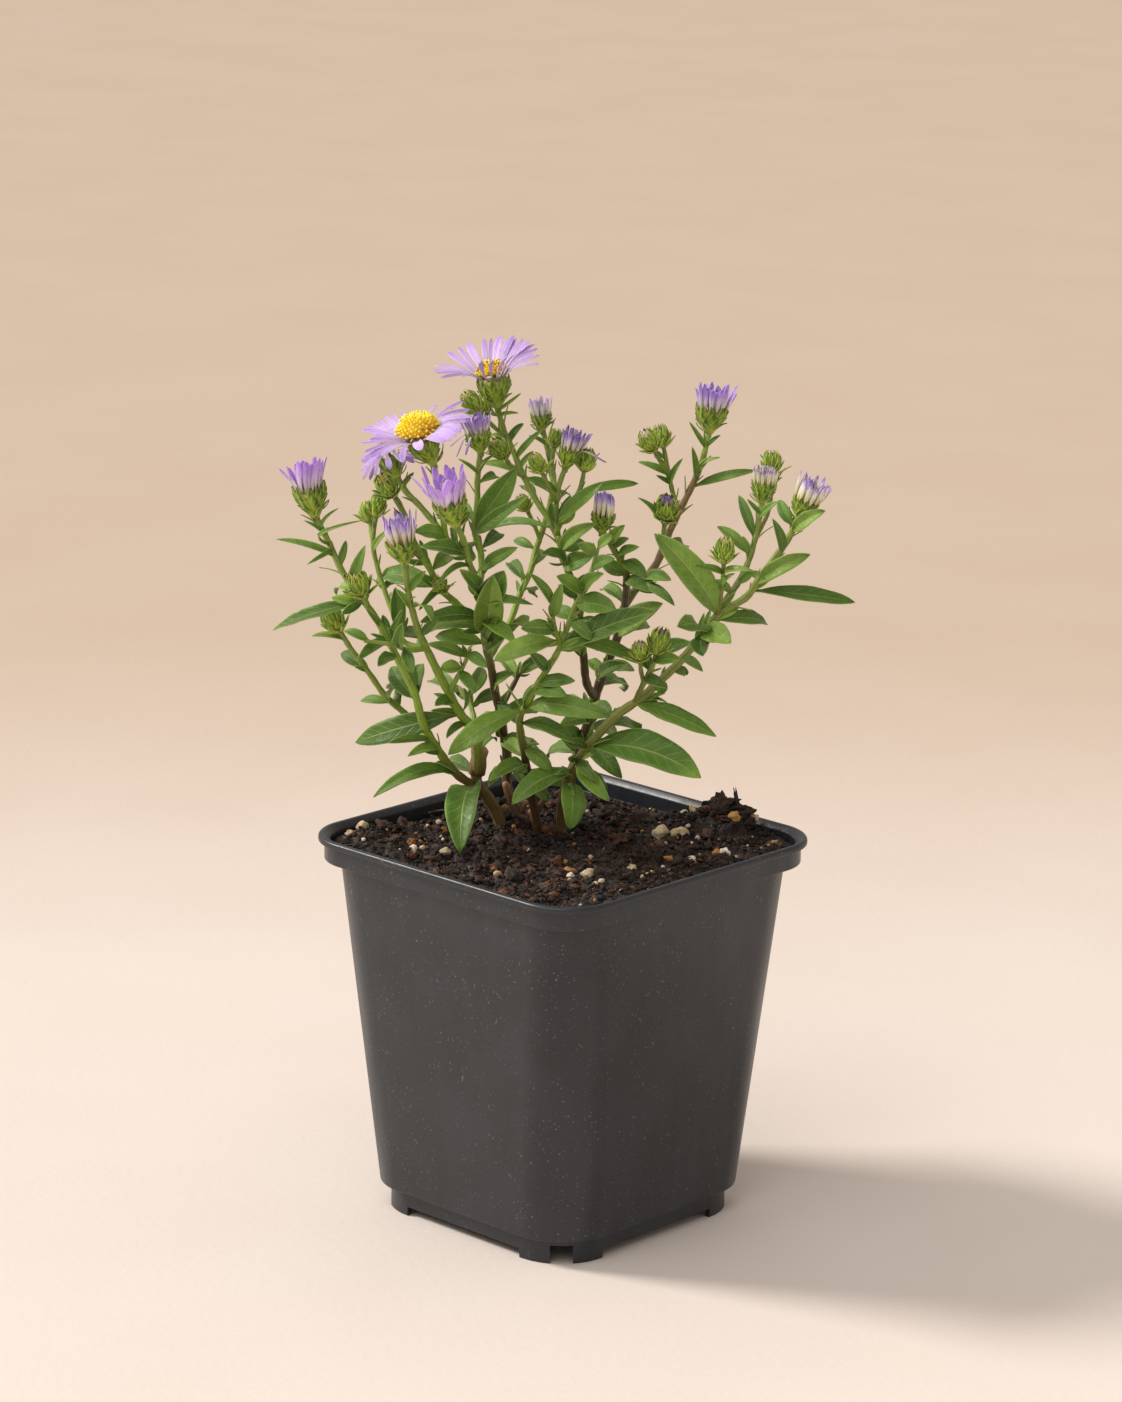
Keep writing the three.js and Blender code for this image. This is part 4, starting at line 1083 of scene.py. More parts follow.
            Shoot((1.8, 0.8), rows("""
            -1 118.3 -23, 2 131 -25, 5.8 143.7 -27, 8.5 155 -28, 11.9 165 -29, 15.2 174.7 -30,
            16.5 182 -30, 19.8 187.5 -31, 23.9 192.4 -32, 26 196 -32, 28.5 203 -33,
            31.2 209.4 -33, 35 217.5 -34, 38 225.5 -34, 39.7 234.2 -35"""),
                  rooted=True,
                  skin="0 4d3a1e, 0.5 4a3a1c, 0.62 6a6a30, 0.72 7a5f3a, 0.88 80683c, 1 94b238"),
            Shoot((1.2, 0.9), rows("""
            8.4 154.6 -28, 6.2 159 -23, 5 168 -17, 4 178 -14, 2.5 186.5 -13, -0.5 194.6 -13,
            -2.8 203 -14""")),
            Shoot((0.9, 0.8), rows("""
            -2.4 201.7 -13.8, -5.4 207.6 -16, -9.2 213.3 -19, -13.1 221 -22, -16 227.8 -24,
            -18.6 233.5 -25, -20.6 240.8 -25""")),
            Shoot((0.8, 0.7), rows("""
            -2.6 202.5 -14, -3.3 209 -14, -3.2 214 -14, -2.4 218.5 -15, -0.8 223.2 -16""")),
            Shoot((1.1, 0.8), rows("""
            16.6 183 -30, 17.1 189 -24, 16.6 193.5 -19, 14.1 197.7 -15, 9.8 204.5 -12""")),
            Shoot((0.7, 0.6), rows("""
            31.7 210.6 -33, 29.6 216.5 -30, 28.4 222 -28, 26.3 232 -28"""),
                  bud=2.5, tuft=MAUVE_TUFT),
            Shoot((0.6, 0.6), rows("""
            28.5 221.6 -28, 25.8 225.5 -25, 22.9 230.6 -22"""), bud=2.8, tuft=CREAM_TUFT),
            Shoot((0.7, 0.7), rows("""
            27.6 200.6 -32.6, 27.5 204.5 -26, 28 211 -21"""), bud=3.4, tuft=VIOLET_TUFT),
            Shoot((0.6, 0.6), rows("-3.2 213 -14, -5.5 217 -11, -8.7 223.6 -9"), bud=2.3),
            Shoot((0.6, 0.6), rows("-2.9 216.3 -14.5, -4.8 222 -20, -4 231 -23"), bud=2),
            Shoot((0.7, 0.6), rows("""
            -2.8 204.5 -14, 0.5 211.5 -16, 3.4 217 -18, 4.8 224.8 -20"""),
                  bud=2.6, tuft=MAUVE_TUFT),
            Shoot((0.6, 0.6), rows("-18 232 -24.8, -21.5 234.5 -20, -27.3 241 -17"), bud=2.8),
            Shoot((0.5, 0.5), rows("""
            -19.6 237.5 -25, -22 238.3 -22, -24.2 239.5 -21"""), bud=1.9, tuft=MAUVE_TUFT),
            Shoot((0.6, 0.6), rows("-12.4 219.5 -21.5, -15.6 222 -17, -19.6 227.6 -14"), bud=2.8),
        ],
        leaves=rows("""
        5.5 143 16.8 131 -12 6 50, 3.2 135.7 12.2 125.7 -34 5, 14.8 173 27.6 183.5 -18 7 56,
        4.6 141 -4 144.5 -14 5 50, 7 148 -1.5 146.5 -12 4.8 50, 2 131 -5.5 129 -20 4.4 48,
        9.8 160 17.5 165.5 -14 4.6 55, 8.2 154 14 149.5 -16 3.5, 11.8 164.5 19.8 163.3 -20 4,
        10.5 161 6.4 166.2 -36 4, 5 168 -4.6 174 -8 4.4, 4 178 12.5 172.4 -8 5,
        4 177 -5 180.5 -22 4.5, 2.5 186.5 9.5 192 -6 4.5 60, 0 193.4 7.3 197 -4 5.5 60,
        -0.5 194.6 -7.5 197.4 -6 4, -1.8 199 8 206.6 -6 4.5 58, -1.6 198 4.5 201.5 -20 5,
        -2.8 206 9.9 218.9 -6 4.4 60, 16.8 191.5 9.8 195.6 -22 4.4,
        15.8 195.2 22.8 190.9 -10 4.4, 12 201 16.3 206.4 -7 3.4, 22 190.2 29.8 190.3 -24 4,
        19.8 187.5 31 182.8 -22 3.4, 15.2 174.7 23.5 177 -42 5, 14 171 6.5 174 -44 5,
        9.5 158 17 157 -44 5, 7.5 151 -1 153.5 -40 5, 6.2 145.5 14.5 143 -44 5.5,
        4 138 -4.5 137 -42 5, 16.6 183 10 187 -44 4.4, 21.5 189.5 16.4 194.5 -45 4.4,
        27 198.6 33.5 199.4 -46 4, 17 190 23.8 186.6 -8 4, -2.8 204.8 -24 203.4 -28 2.6,
        3 216.2 19.9 218.5 -24 3, -13.1 221.5 -24.5 223.5 -27 2.4,
        -12.5 219.6 -5.4 216.6 -26 3, -15 225.2 -7.6 233.9 -26 2 60 0.3,
        -17 230 -13 235.5 -28 2.4 60, 14.5 197.4 20.5 200 -8 3, 28 205.8 19.9 214.4 -19 2.4,
        28.3 221 19.8 224.8 -31 2.4, 29 219 32.4 226 -24 2.4, 36.3 221 35 229.5 -28 2.4 60,
        35 217.5 53.4 222.8 -31 3 50 0.05, 37.4 224 43 226.5 -28 1.8,
        31.2 209.4 25.2 212.4 -42 3, -9 213 -13 216.5 -33 3,
        -18.5 240 -13.8 244.3 -25 1.1 60 0.2, -14 223 -10 227.5 -24 1.8 60,
        -19.8 237 -14.5 238.5 -22 1.3 60, -17.5 231.5 -22.5 232 -26 1.4 60,
        38.6 229 34 236.8 -33 1.6 60 0.16, 38.8 229.5 43 233 -34 1.5 60 0.2,
        36.8 222.5 40.5 227 -30 1.8 60, 27.2 226 23.5 229 -28 1.3 60,
        29 218.5 25 221 -28 1.6 60, -1.6 221 2.8 225 -16 1.4 60 0.2,
        -2.8 216 -7 219.5 -14 1.4 60, 13 199 17.5 202.5 -12 2.6 60,
        11.5 202 6.5 206.5 -13 1.8 60, 2.8 184 -2.5 188.5 -10 2.8 60"""),
    ),
    "front_right": Plant(
        bark_top=127, bark="6a542c", green="80863a",
        stubs=((4, 119.5, 5, 0.8, 2.6, "8a6640"),),
        shoots=[
            Shoot((1.5, 0.9), rows("""
            -0.6 116.4 -12, -0.2 124.5 -8, 2.6 133.5 -3, 9 143.2 2, 15.6 150.4 4, 21.4 154.8 5,
            27.5 160.6 6, 33.2 166.7 6, 38.3 173.2 5, 43.8 180.5 3, 51.7 185.8 3, 55.2 191.2 4,
            58.9 196.6 4, 62.5 202 4, 66 209.3 4"""), rooted=True),
            Shoot((0.9, 0.8), rows("""
            43 179.4 3.2, 45.8 184.8 -2, 49 189.8 -6, 51.7 195.7 -9, 53.3 201.6 -11,
            54.5 208.4 -13, 55.3 213.7 -14""")),
            Shoot((0.7, 0.6), rows("43.4 180 3, 44.4 187.8 7, 44.9 198.8 9"), bud=2.8),
            Shoot((0.6, 0.6), rows("""
            53.6 203 -11.4, 57.4 212 -20, 57.7 224.4 -23"""), bud=2.8, tuft=BROWN_TUFT),
            Shoot((0.8, 0.7), rows("""
            19.5 153.5 4.7, 22.4 159.5 10, 25 165 13, 26.8 171.6 14"""), bud=3, tuft=MAUVE_TUFT),
            Shoot((0.6, 0.6), rows("""
            22.4 159.5 10, 21.6 164 14, 21.3 168.6 16"""), bud=2.4, tuft=CREAM_TUFT),
        ],
        leaves=rows("""
        43 179.6 24.7 204 10 8.5 62 0.12, 53 187.4 82.7 184.6 0 4.8 45 0.06,
        42.6 179 57.6 177.6 -6 4.8 50 0.2, 39.4 174.7 31.9 176.6 20 7 55 0.1,
        39.8 174.4 47.4 172 18 7 52 0.1, 0.6 129.5 1.9 115.2 6 7.6 36 0.22 0.3,
        0.6 133 -15 122.6 8 7 42 0.16, 3.5 135.5 9.5 130 10 3.6 48, 6 139.5 0.5 141.5 6 3.6 50,
        37 171.4 27 166.5 -8 5.5, 20.2 154 43.8 144 12 6 50 0.1, 21 154.6 26.3 151.3 -4 3.5,
        7.4 140 39.7 131.5 14 11 48 0.1, 5.6 134 13.2 124 12 5 50, 64 205 73.4 211.4 10 4.4 60,
        54 189.3 69.5 198.5 8 4.8 58, 52.3 198.5 42.7 206.3 -14 3.4 60,
        64.8 207 60.3 214.4 -2 3.4 60, 24 163.4 20 170.4 6 4.4 60, 25.3 166 33 167 20 4,
        23 161 29 158.3 18 3.6, 30.3 163.5 34.7 162.4 2 3 60 0.15,
        28.2 161 27.5 156.8 6 3.4 60 0.2, 14 148.5 8.5 153 -6 4.4, 12 146.4 21.5 141.2 -14 5,
        38.6 174 39.4 168 14 6 58 0.1, 53.2 202.5 48.6 215.6 -18 3 60, 54.6 209 60 214 -8 2.6,
        61 200 58.3 209 12 3 60 0.2, 44.6 192.6 36 194.8 14 2.4, 44.7 192 53.5 193.3 16 2.4,
        50.8 193.6 56.5 189.6 -14 3, 56.5 193 63 194.4 -4 3, 44.3 188 48 192.6 13 2.4,
        33 166.5 39.5 163.4 16 3, 65 207.5 70.8 209.5 6 1.8 60,
        57.5 217 60.8 221 -21 1.2 60 0.2, 55 210.5 51 214.5 -12 1.5 60,
        46.8 186.5 42 190.5 -2 2.6 60, 48.5 189 53 193 -8 2.6 60"""),
    ),
}


class Opening(Enum):
    """How far a flower head has opened."""

    OPEN = "open"
    FADED = "faded"
    HALF = "half"
    CLOSED = "closed"


@dataclass(frozen=True)
class Head:
    """One flower head: where it stands, its cup, its rays and their colours.

    Single rays are listed as turn round the cup (0 right, 90 away, 180 left, 270 toward the
    eye), seen place of the tip across and up, width and shade, a factor on the ray's colour:
    under 1 it is painted shade on rays that fold or face away from the light, over 1 it makes
    pale rays paler. The others fill their ring.
    What is bare is the share of the head's height that its topmost bracts stop short.
    """

    base: tuple[float, float, float]
    rim: tuple[float, float, float]
    cup: float
    opening: Opening
    rays: int
    length: float
    width: float
    rise: float
    colours: str
    disc: float = 0.0
    lean: tuple[float, float] = (0.0, 0.0)
    listed: Rows = field(default_factory=list)
    flushed: bool = False
    ringed: float = 1.0
    dome: float = 0.72
    level: float = 0.0
    bare: float = 0.0


LAVENDER = "0 f2e8fa, 0.25 dec2fc, 1 c8a0fe"
HALF_LILAC = "0 c4a05c, 0.13 f2e0ce, 0.3 e8cefa, 0.6 d2a6fe, 1 c48efc"
CREAM_VIOLET = "0 ccce5c, 0.25 efe69c, 0.5 f8f0dc, 0.72 b89ee4, 1 6640b0"

HEADS: dict[str, Head] = {
    "top_left": Head(
        (-20.6, 240.8, -25), (-21.8, 248, -25), 5.2, Opening.OPEN, 32, 15, 1.9, 26, LAVENDER, 4.4,
        (9, -4), flushed=True, ringed=0,
        listed=rows("""
        178 -39.2 250.4 1.4, 170 -38.2 252 1.6, 188 -36.7 248.4 1.5, 195 -38.2 249.7 1.4,
        158 -34.7 255.7 2.6 0.9, 120 -29.2 258.4 2.8 1.15, 105 -24.5 259.8 2 0.92,
        82 -19.9 260.6 2.6 1.15, 70 -16.6 260.4 2.4, 55 -15.4 260 2.2 1.05,
        35 -11.4 259.4 2.4 1.05, 20 -9.3 257.2 2.2 0.75, 5 -8.7 255.3 1.3, 350 -8.8 252.8 1.2,
        248 -25.3 253 1.7 0.75, 270 -22 253.6 1.3 0.85, 290 -18 254.6 1.6 0.8,
        303 -15.6 255.6 1.7, 316 -12.9 257.2 2.2 1.05, 140 -31.8 257.2 2,
        95 -22.4 260 1.5 0.85, 62 -16 260.9 1.6 0.85, 44 -13.4 260 1.8 0.9, 28 -10.2 258.4 2,
        335 -10.6 255.4 1.7 0.85, 222 -30.5 248.8 1.7 0.9""")),
    "open_left": Head(
        (-38.8, 224, 8), (-41.9, 230.5, 9.3), 4.8, Opening.OPEN, 24, 15, 2.2, 9, LAVENDER, 6.1,
        (-12, -12), dome=0.8, level=0.6, ringed=0,
        listed=rows("""
        165 -58.9 233 2.2, 155 -57 233.8 2.2 1.05, 182 -57 230 2.4, 175 -55.5 231.3 2.2,
        190 -59.8 228.8 1.2 1.15, 215 -59 221 2.3, 205 -59 224.2 2, 228 -53.5 225.5 2.2 1.05,
        238 -47.3 223.6 2.2 0.82, 268 -41.9 227.4 3.5 1.1, 290 -35.4 229.8 2.6,
        300 -33.7 230.3 2.8 1.12, 318 -32 231.6 2.4, 332 -30.8 232.8 2.4 0.92,
        345 -30.2 233.8 2.6, 5 -28.8 236 2.4, 15 -27.3 237.3 2.6 1.12, 28 -28.3 239.4 2.4 1.12,
        40 -30.2 241.7 1.9 0.72, 75 -37.6 240.6 1.5 1.1, 118 -47.5 238 1.6 1.2,
        130 -50.5 237.6 1.6 1.2, 140 -52.5 236.8 1.7 1.18, 148 -55 235.6 1.7 1.15,
        52 -33 239.6 1.8 0.95, 92 -41 238.8 1.4 1.15, 105 -44.4 238.6 1.4 1.2,
        198 -58.4 226.3 1.6 0.9, 208 -56.5 224.6 1.6 0.85, 222 -57.5 222.6 1.7""")),
    "faded_left": Head(
        (-48.8, 219.5, -6), (-51.2, 225.2, -8), 3.6, Opening.FADED, 15, 8.5, 1.9, -44,
        "0 b9a0b4, 0.35 b89ddc, 1 a384da", 3,
        listed=rows("170 -59 224 2, 185 -59 221 2, 200 -58.5 218.5 1.9, 230 -55 219.5 1.6 0.9")),
    "far_left": Head(
        (-72.2, 208, -1), (-74, 216.2, -0.6), 5.1, Opening.HALF, 22, 8.2, 2.2, 80, HALF_LILAC, 0,
        (3, 0), flushed=True,
        listed=rows("""
        215 -82.6 221.5 1.8, 190 -80.6 222.4 1.8, 240 -77.2 223.7 2.4, 150 -76 222.5 2.2,
        262 -74.9 223.5 2 0.85, 275 -73.2 222.8 2 0.8, 290 -72.2 225 2 1.05, 305 -70.9 224.6 2,
        320 -70 224 1.9, 345 -68.9 225.2 1.9 0.95""")),
    "middle_left": Head(
        (-32.2, 206, 23), (-34, 213, 25), 5.1, Opening.HALF, 20, 9.2, 2.5, 68, HALF_LILAC, 0,
        (8, 4), flushed=True,
        listed=rows("""
        195 -44.9 219.6 2.6, 160 -42.1 222.8 2.4 0.95, 125 -38.5 222.5 2.6, 85 -35 223.3 2.4,
        70 -32.8 222.6 2.2, 40 -30.2 223.6 2.4, 10 -29.2 220.3 2.2, 265 -33.9 218.8 4.2 1.1,
        235 -39.6 216.6 2.8 1.1, 250 -37.4 215.9 2.4 1.15, 300 -31.2 219 2.4,
        215 -41.8 219.4 2.4, 325 -30 221.5 2.3 0.9""")),
    "small_left": Head(
        (-46.5, 194.5, 13), (-48, 201.4, 13.5), 4.6, Opening.HALF, 28, 9.2, 1.4, 84,
        "0 b89a48, 0.25 e0cc8a, 0.5 f2e6da, 0.7 ccb2f2, 1 8e62d8", 0, (-6, 0), bare=0.14),
    "ragged": Head(
        (-25.2, 227.3, -9), (-26, 232.8, -9), 3.8, Opening.HALF, 28, 6.6, 1, 76,
        "0 dccf8c, 0.3 e4d8d0, 0.55 b094da, 1 8058c6", 0, (7, 0),
        listed=rows("190 -33.8 228.5 1.1 1.2, 200 -32 225.5 1 1.15, 240 -29.4 226 1 1.15")),
    "pale": Head(
        (-7.6, 234, -38), (-8.2, 239, -38), 3.3, Opening.HALF, 26, 6, 0.9, 80,
        "0 ece2a4, 0.35 faf6dc, 0.65 fff8fa, 0.86 dcc6fa, 1 a884ea", bare=0.14),
    "deep_violet": Head(
        (-0.8, 223.2, -16), (0.6, 229, -16.4), 3.5, Opening.HALF, 26, 7.2, 1.2, 80,
        "0 d0c46c, 0.25 ece2ae, 0.5 dccbe0, 0.7 9474cc, 1 583a9c", 0, (-6, 0), bare=0.14,
        listed=rows("345 10.8 224.5 0.7 1.3")),
    "egg": Head(
        (9.8, 204.5, -12), (10.2, 210, -12), 3.7, Opening.CLOSED, 22, 8.2, 1.7, 94, CREAM_VIOLET,
        bare=0.14),
    "top_right": Head(
        (39.7, 234.2, -35), (40.4, 241, -35), 5, Opening.HALF, 28, 7.8, 1.6, 77,
        "0 dcd080, 0.2 f4ead0, 0.42 e4d0f6, 0.68 ba96f2, 1 8e64dc", 0, (-5, 0), flushed=True),
    "right_inner": Head(
        (55.3, 213.7, -14), (55.8, 220, -14), 3.9, Opening.HALF, 26, 5.8, 1.1, 84,
        "0 ccce5c, 0.4 f6f0a8, 0.68 f6eed4, 0.86 b4a2bc, 1 6e5c84", bare=0.14),
    "far_right": Head(
        (66, 209.3, 4), (68.3, 215.4, 4.6), 4.2, Opening.HALF, 26, 8.2, 1.4, 82,
        "0 ccce5c, 0.3 f4ee9e, 0.6 fcf6e0, 0.78 eadcf2, 0.9 aa88e4, 1 7e56c4", 0, (-6, 0),
        bare=0.16),
}


@dataclass
class NurseryPot:
    """Square moulded pot: thin tapered walls, a band and a rolled lip, feet at the corners."""

    wall: float = 1.4
    corner_steps: int = 14
    foot_notch_half: float = 22.9
    foot_notch_height: float = 2.8
    drain_width: float = 6.7
    drain_height: float = 5.6
    drain_depth: float = 11.0
    drain_inset: float = 6.8
    soften: float = 0.35
    crease: float = 28.0
    sharp: float = 32.0
    profile: Rows = field(default_factory=lambda: rows("""
        38.5 15.4 3.2, 38.5 15.4 0, 39.9 16.5 0, 39.9 16.5 7.2, 42.1 16.9 7.7, 50.6 16.9 106.4,
        53.2 14.4 106.4, 53.2 14.4 111.95, 55 16.2 111.95, 55 16.2 113.4, 54.4 15.6 113.95,
        53.4 14.6 113.95, 51.8 14 112.4, 51.8 14 108, 49.2 15.6 105, 40.7 15.6 9.1, 38.5 15.4 7.7,
        38.5 15.4 4.7"""))

    def ring(self, shape: Shape, half: float, corner: float,
             height: float) -> list[bmesh.types.BMEdge]:
        """Adds one rounded square.

        Args:
            shape: where it is made.
            half: half its width.
            corner: radius of its corners.
            height: its height.

        Returns:
            Its edges.
        """
        count = 4 * (self.corner_steps + 1)
        made = bmesh.ops.create_circle(shape, segments=count, radius=1.0)["verts"]
        middle = half - corner
        for number, vert in enumerate(made):
            quarter, step = divmod(number, self.corner_steps + 1)
            turn = (quarter + step / self.corner_steps) * pi / 2
            x = middle * (1 if quarter in (0, 3) else -1) + corner * cos(turn)
            y = middle * (1 if quarter < 2 else -1) + corner * sin(turn)
            vert.co = (x, y, height)
        return list({edge for vert in made for edge in vert.link_edges})

    def shell(self) -> Shape:
        """Bridges the rings of the profile and softens the sharp ones.

        Returns:
            A new bmesh.
        """
        shape = new_shape()[0]
        rings = [self.ring(shape, *entry) for entry in self.profile]
        for lower, upper in zip(rings, rings[1:]):
            bmesh.ops.bridge_loops(shape, edges=lower + upper)
        bmesh.ops.holes_fill(shape, edges=shape.edges, sides=0)
        bmesh.ops.recalc_face_normals(shape, faces=shape.faces)
        flat = [
            edge for ring in rings for edge in ring
            if len(edge.link_faces) == 2 and edge.calc_face_angle() > radians(self.crease)
        ]
        bmesh.ops.bevel(shape, geom=flat, offset=self.soften, segments=3, profile=0.5,
                        affect="EDGES", material=-1)
        return shape

    def cutters(self) -> Shape:
        """Blocks that open the skirt along each side and at each corner.

        Returns:
            A new bmesh.
        """
        shape = bmesh.new()
        clear_through = 120.0
        skirt = 39.9
        corner = skirt * sqrt(2) - self.drain_inset
        notch = (2 * self.foot_notch_half, clear_through, 2 * self.foot_notch_height)
        drain = (2 * self.drain_depth, self.drain_width, 2 * self.drain_height)
        blocks = [(notch, 0.0, 0.0), (notch, 0.0, pi / 2)]
        blocks += [(drain, corner, pi / 4 + quarter * pi / 2) for quarter in range(4)]
        for size, out, turn in blocks:
            place = (Matrix.Rotation(turn, 4, "Z") @ Matrix.Translation((out, 0, 0))
                     @ Matrix.Diagonal((*size, 1)))
            bmesh.ops.create_cube(shape, size=1.0, matrix=place)
        return shape

    def build(self) -> None:
        """Makes the pot and cuts its feet free."""
        piece = Piece("pot_moulding", "pot_plastic", [MouldedPolypropylene().material()])
        piece.add(self.shell())
        pot = piece.finish(replaces=["pot"])
        blocks = self.cutters()
        bmesh.ops.scale(blocks, vec=(MM, MM, MM), verts=blocks.verts)
        cutter = placed("cutters", settled("cutters", blocks))
        cut = pot.modifiers.new("feet", "BOOLEAN")
        cut.operation = "DIFFERENCE"
        cut.solver = "EXACT"
        cut.use_self = True
        cut.object = cutter
        bpy.context.view_layer.update()
        graph = bpy.context.evaluated_depsgraph_get()
        finished = bpy.data.meshes.new_from_object(pot.evaluated_get(graph))
        pot.modifiers.clear()
        pot.data = finished
        bpy.data.objects.remove(cutter)
        finished.set_sharp_from_angle(angle=radians(self.sharp))


class Grain(Enum):
    """What a crumb of the potting mix is: its colour at the darkest and at the lightest."""

    PEAT = ("1a120d", "463226")
    CLOD = ("2a1a11", "6b4835")
    BARK = ("4a2c19", "96602f")
    CREAM = ("bda983", "ddd0b0")
    WHITE = ("cfc6b4", "ece6d8")
    OCHRE = ("96662f", "c79a5c")

    def tone(self, draw: Random) -> Vector:
        """A linear colour between the two."""
        dark, light = (Vector(linear(code)) for code in self.value)
        return dark.lerp(light, draw.random() ** 1.5)


def grains(text: str) -> list[tuple[float | Grain, ...]]:
    """Reads a table of grains.

    Args:
        text: numbers and the kind of each grain, with a comma after every one but the last.

    Returns:
        One tuple for each grain: its numbers, then its kind.
    """
    table = [row.split() for row in text.split(",")]
    return [(*(float(word) for word in row[:-1]), Grain[row[-1].upper()]) for row in table]


@dataclass
class PottingSoil:
    """Soil with its crumbs, bark flakes, pumice grains and the heap of bark at one corner."""

    draw: Random = field(default_factory=lambda: Random(11))
    half: float = 51.4
    corner: float = 14.2
    skirt: tuple[float, float] = (48.6, 104.6)
    foot: tuple[float, float] = (40.3, 9.1)
    edge_z: float = 107.8
    rises: Rows = field(default_factory=lambda: rows(
        "-9 -21 3.2 26, 37 -15 3 19, -58 -4 3.8 15, 58 -8 3.2 13, 40 -27 1.8 9"))
    heap: tuple[float, float] = (47.5, -14.0)
    heap_radii: tuple[float, float, float] = (8.5, 8.0, 7.4)
    heap_foot: float = 105.0
    heap_top: float = 110.5
    cells: int = 200
    crumbs: int = 5000
    clods: int = 560
    flakes: int = 170
    fibres: int = 130
    specks: int = 150
    stones: list[tuple[float | Grain, ...]] = field(default_factory=lambda: grains("""
        -62.3 -5 1.3 1 cream, -58.7 -9.1 1.8 1 cream, -44.1 -2.8 1.5 1 ochre,
        -43.3 2.9 1.4 1 white, -40.7 2.1 1 1 cream, -36.6 -21.8 1.1 1 cream,
        -38 -18.1 0.9 1 cream, -35.2 -12.6 1.3 1 ochre, -34 6.4 1.5 1 cream,
        -38.8 6.5 0.9 1 ochre, -24.5 -25.4 0.9 1 cream, -15.5 7.5 1.1 1 cream,
        -18.5 22.6 1.2 1 cream, -15.9 20 1.1 1 cream, 0.6 10.6 0.9 1 ochre, 1.3 17.8 1 1 ochre,
        -1.8 34.6 0.8 1 white, 39.1 -28.7 2.2 1 cream, 35.8 -28.4 1.2 1 cream,
        32.1 -33 0.9 1 white, 36.7 -23.6 0.8 1 white, 28.5 -11.7 2.5 1.1 cream,
        33.9 -8.8 1.9 1.5 cream, 39.4 -8.4 0.9 1 white, 36.6 -14.7 0.8 1 white,
        51.7 -17 1.3 2 ochre, 50 -7.8 1.8 1 ochre, 55.8 -13.5 1.4 1.1 cream, 55 -15 1 1 ochre,
        58.8 -11 0.7 1 cream, 62.4 -6 1 1 cream, 61.2 -4.6 0.9 1 ochre, 59.5 -2.9 0.7 1 white,
        44.6 2.5 1.7 1 ochre, 46.9 2.4 1.9 1 white, 37.4 7.2 1.5 1 white,
        31.9 4.2 1.1 1.2 ochre, 31.2 8.4 1.1 2 ochre, 20 12 1.5 1.4 cream, 8.1 4.8 0.9 1 cream,
        2.3 18.4 1.3 1.5 ochre, 2.3 23.4 1.3 1 white, 7.5 24.1 1.8 1.3 cream,
        11.1 28.8 1 1 cream, 9.4 31.8 1.2 1 white, 9.4 14.6 0.8 1 white,
        23.2 -14.5 0.6 1 ochre, 26.9 -40 0.9 1 ochre, 24.5 18.9 0.8 1 cream,
        28.9 15 0.7 1 white"""))
    lumps: list[tuple[float | Grain, ...]] = field(default_factory=lambda: grains("""
        -3.8 -37.4 1.8 bark, -4.1 -12.4 2.1 bark, 1.6 -10.9 1.5 bark, -2.2 14 1.8 bark,
        -3.3 29.8 1.2 bark, -11.1 27.9 1 bark, -52.6 -11.9 2.4 clod, -46.4 -18 2.9 clod,
        -49.5 -10 1.7 clod, -49.4 1.9 1.5 clod, 22 -26 2.6 clod, 12 -30 2.4 clod,
        30 -30 2.2 clod, 16 -6 2.2 clod"""))

    def height(self, x: float, y: float) -> float:
        """Height of the soil's surface over a plan place, in millimetres.

        Args:
            x: place to the side.
            y: place to the back.

        Returns:
            The height.
        """
        level = self.edge_z
        for across, toward, rise, spread in self.rises:
            top = on_ground(across, toward)
            level += rise * exp(-((x - top.x) ** 2 + (y - top.y) ** 2) / spread ** 2)
        inside = ease(51.2, 46.0, max(abs(x), abs(y)))
        level += noise.fractal(Vector((x / 7, y / 7, 3.1)), 0.6, 2.1, 6) * (0.4 + 1.7 * inside)
        heap = on_ground(*self.heap)
        reach = hypot((x - heap.x) / self.heap_radii[0], (y - heap.y) / self.heap_radii[1])
        return level + self.heap_radii[2] * sqrt(max(0.0, 1 - (reach / 1.1) ** 2))

    def fits(self, x: float, y: float, spare: float = 0.0) -> bool:
        """Whether a plan place lies inside the pot's wall.

        Args:
            x: place to the side.
            y: place to the back.
            spare: distance kept from the wall.

        Returns:
            True where it does.
        """
        half = self.half - spare
        dx = max(0.0, abs(x) - (half - self.corner))
        dy = max(0.0, abs(y) - (half - self.corner))
        return abs(x) < half and abs(y) < half and hypot(dx, dy) < self.corner

    def to_wall(self, s: float, t: float) -> tuple[float, float]:
        """Moves a place of the square grid, -1 to 1, to the rounded square of the pot.

        Args:
            s: place to the side.
            t: place to the back.

        Returns:
            The place in millimetres.
        """
        reach = max(abs(s), abs(t))
        if reach < 1e-6:
            return 0.0, 0.0
        dx, dy = abs(s) / reach, abs(t) / reach
        middle = self.half - self.corner
        scale = self.half
        if min(dx, dy) * self.half > middle:
            along = dx * middle + dy * middle
            square = dx * dx + dy * dy
            beyond = square * (2 * middle * middle - self.corner ** 2)
            scale = (along + sqrt(along * along - beyond)) / square
        return s * scale, t * scale

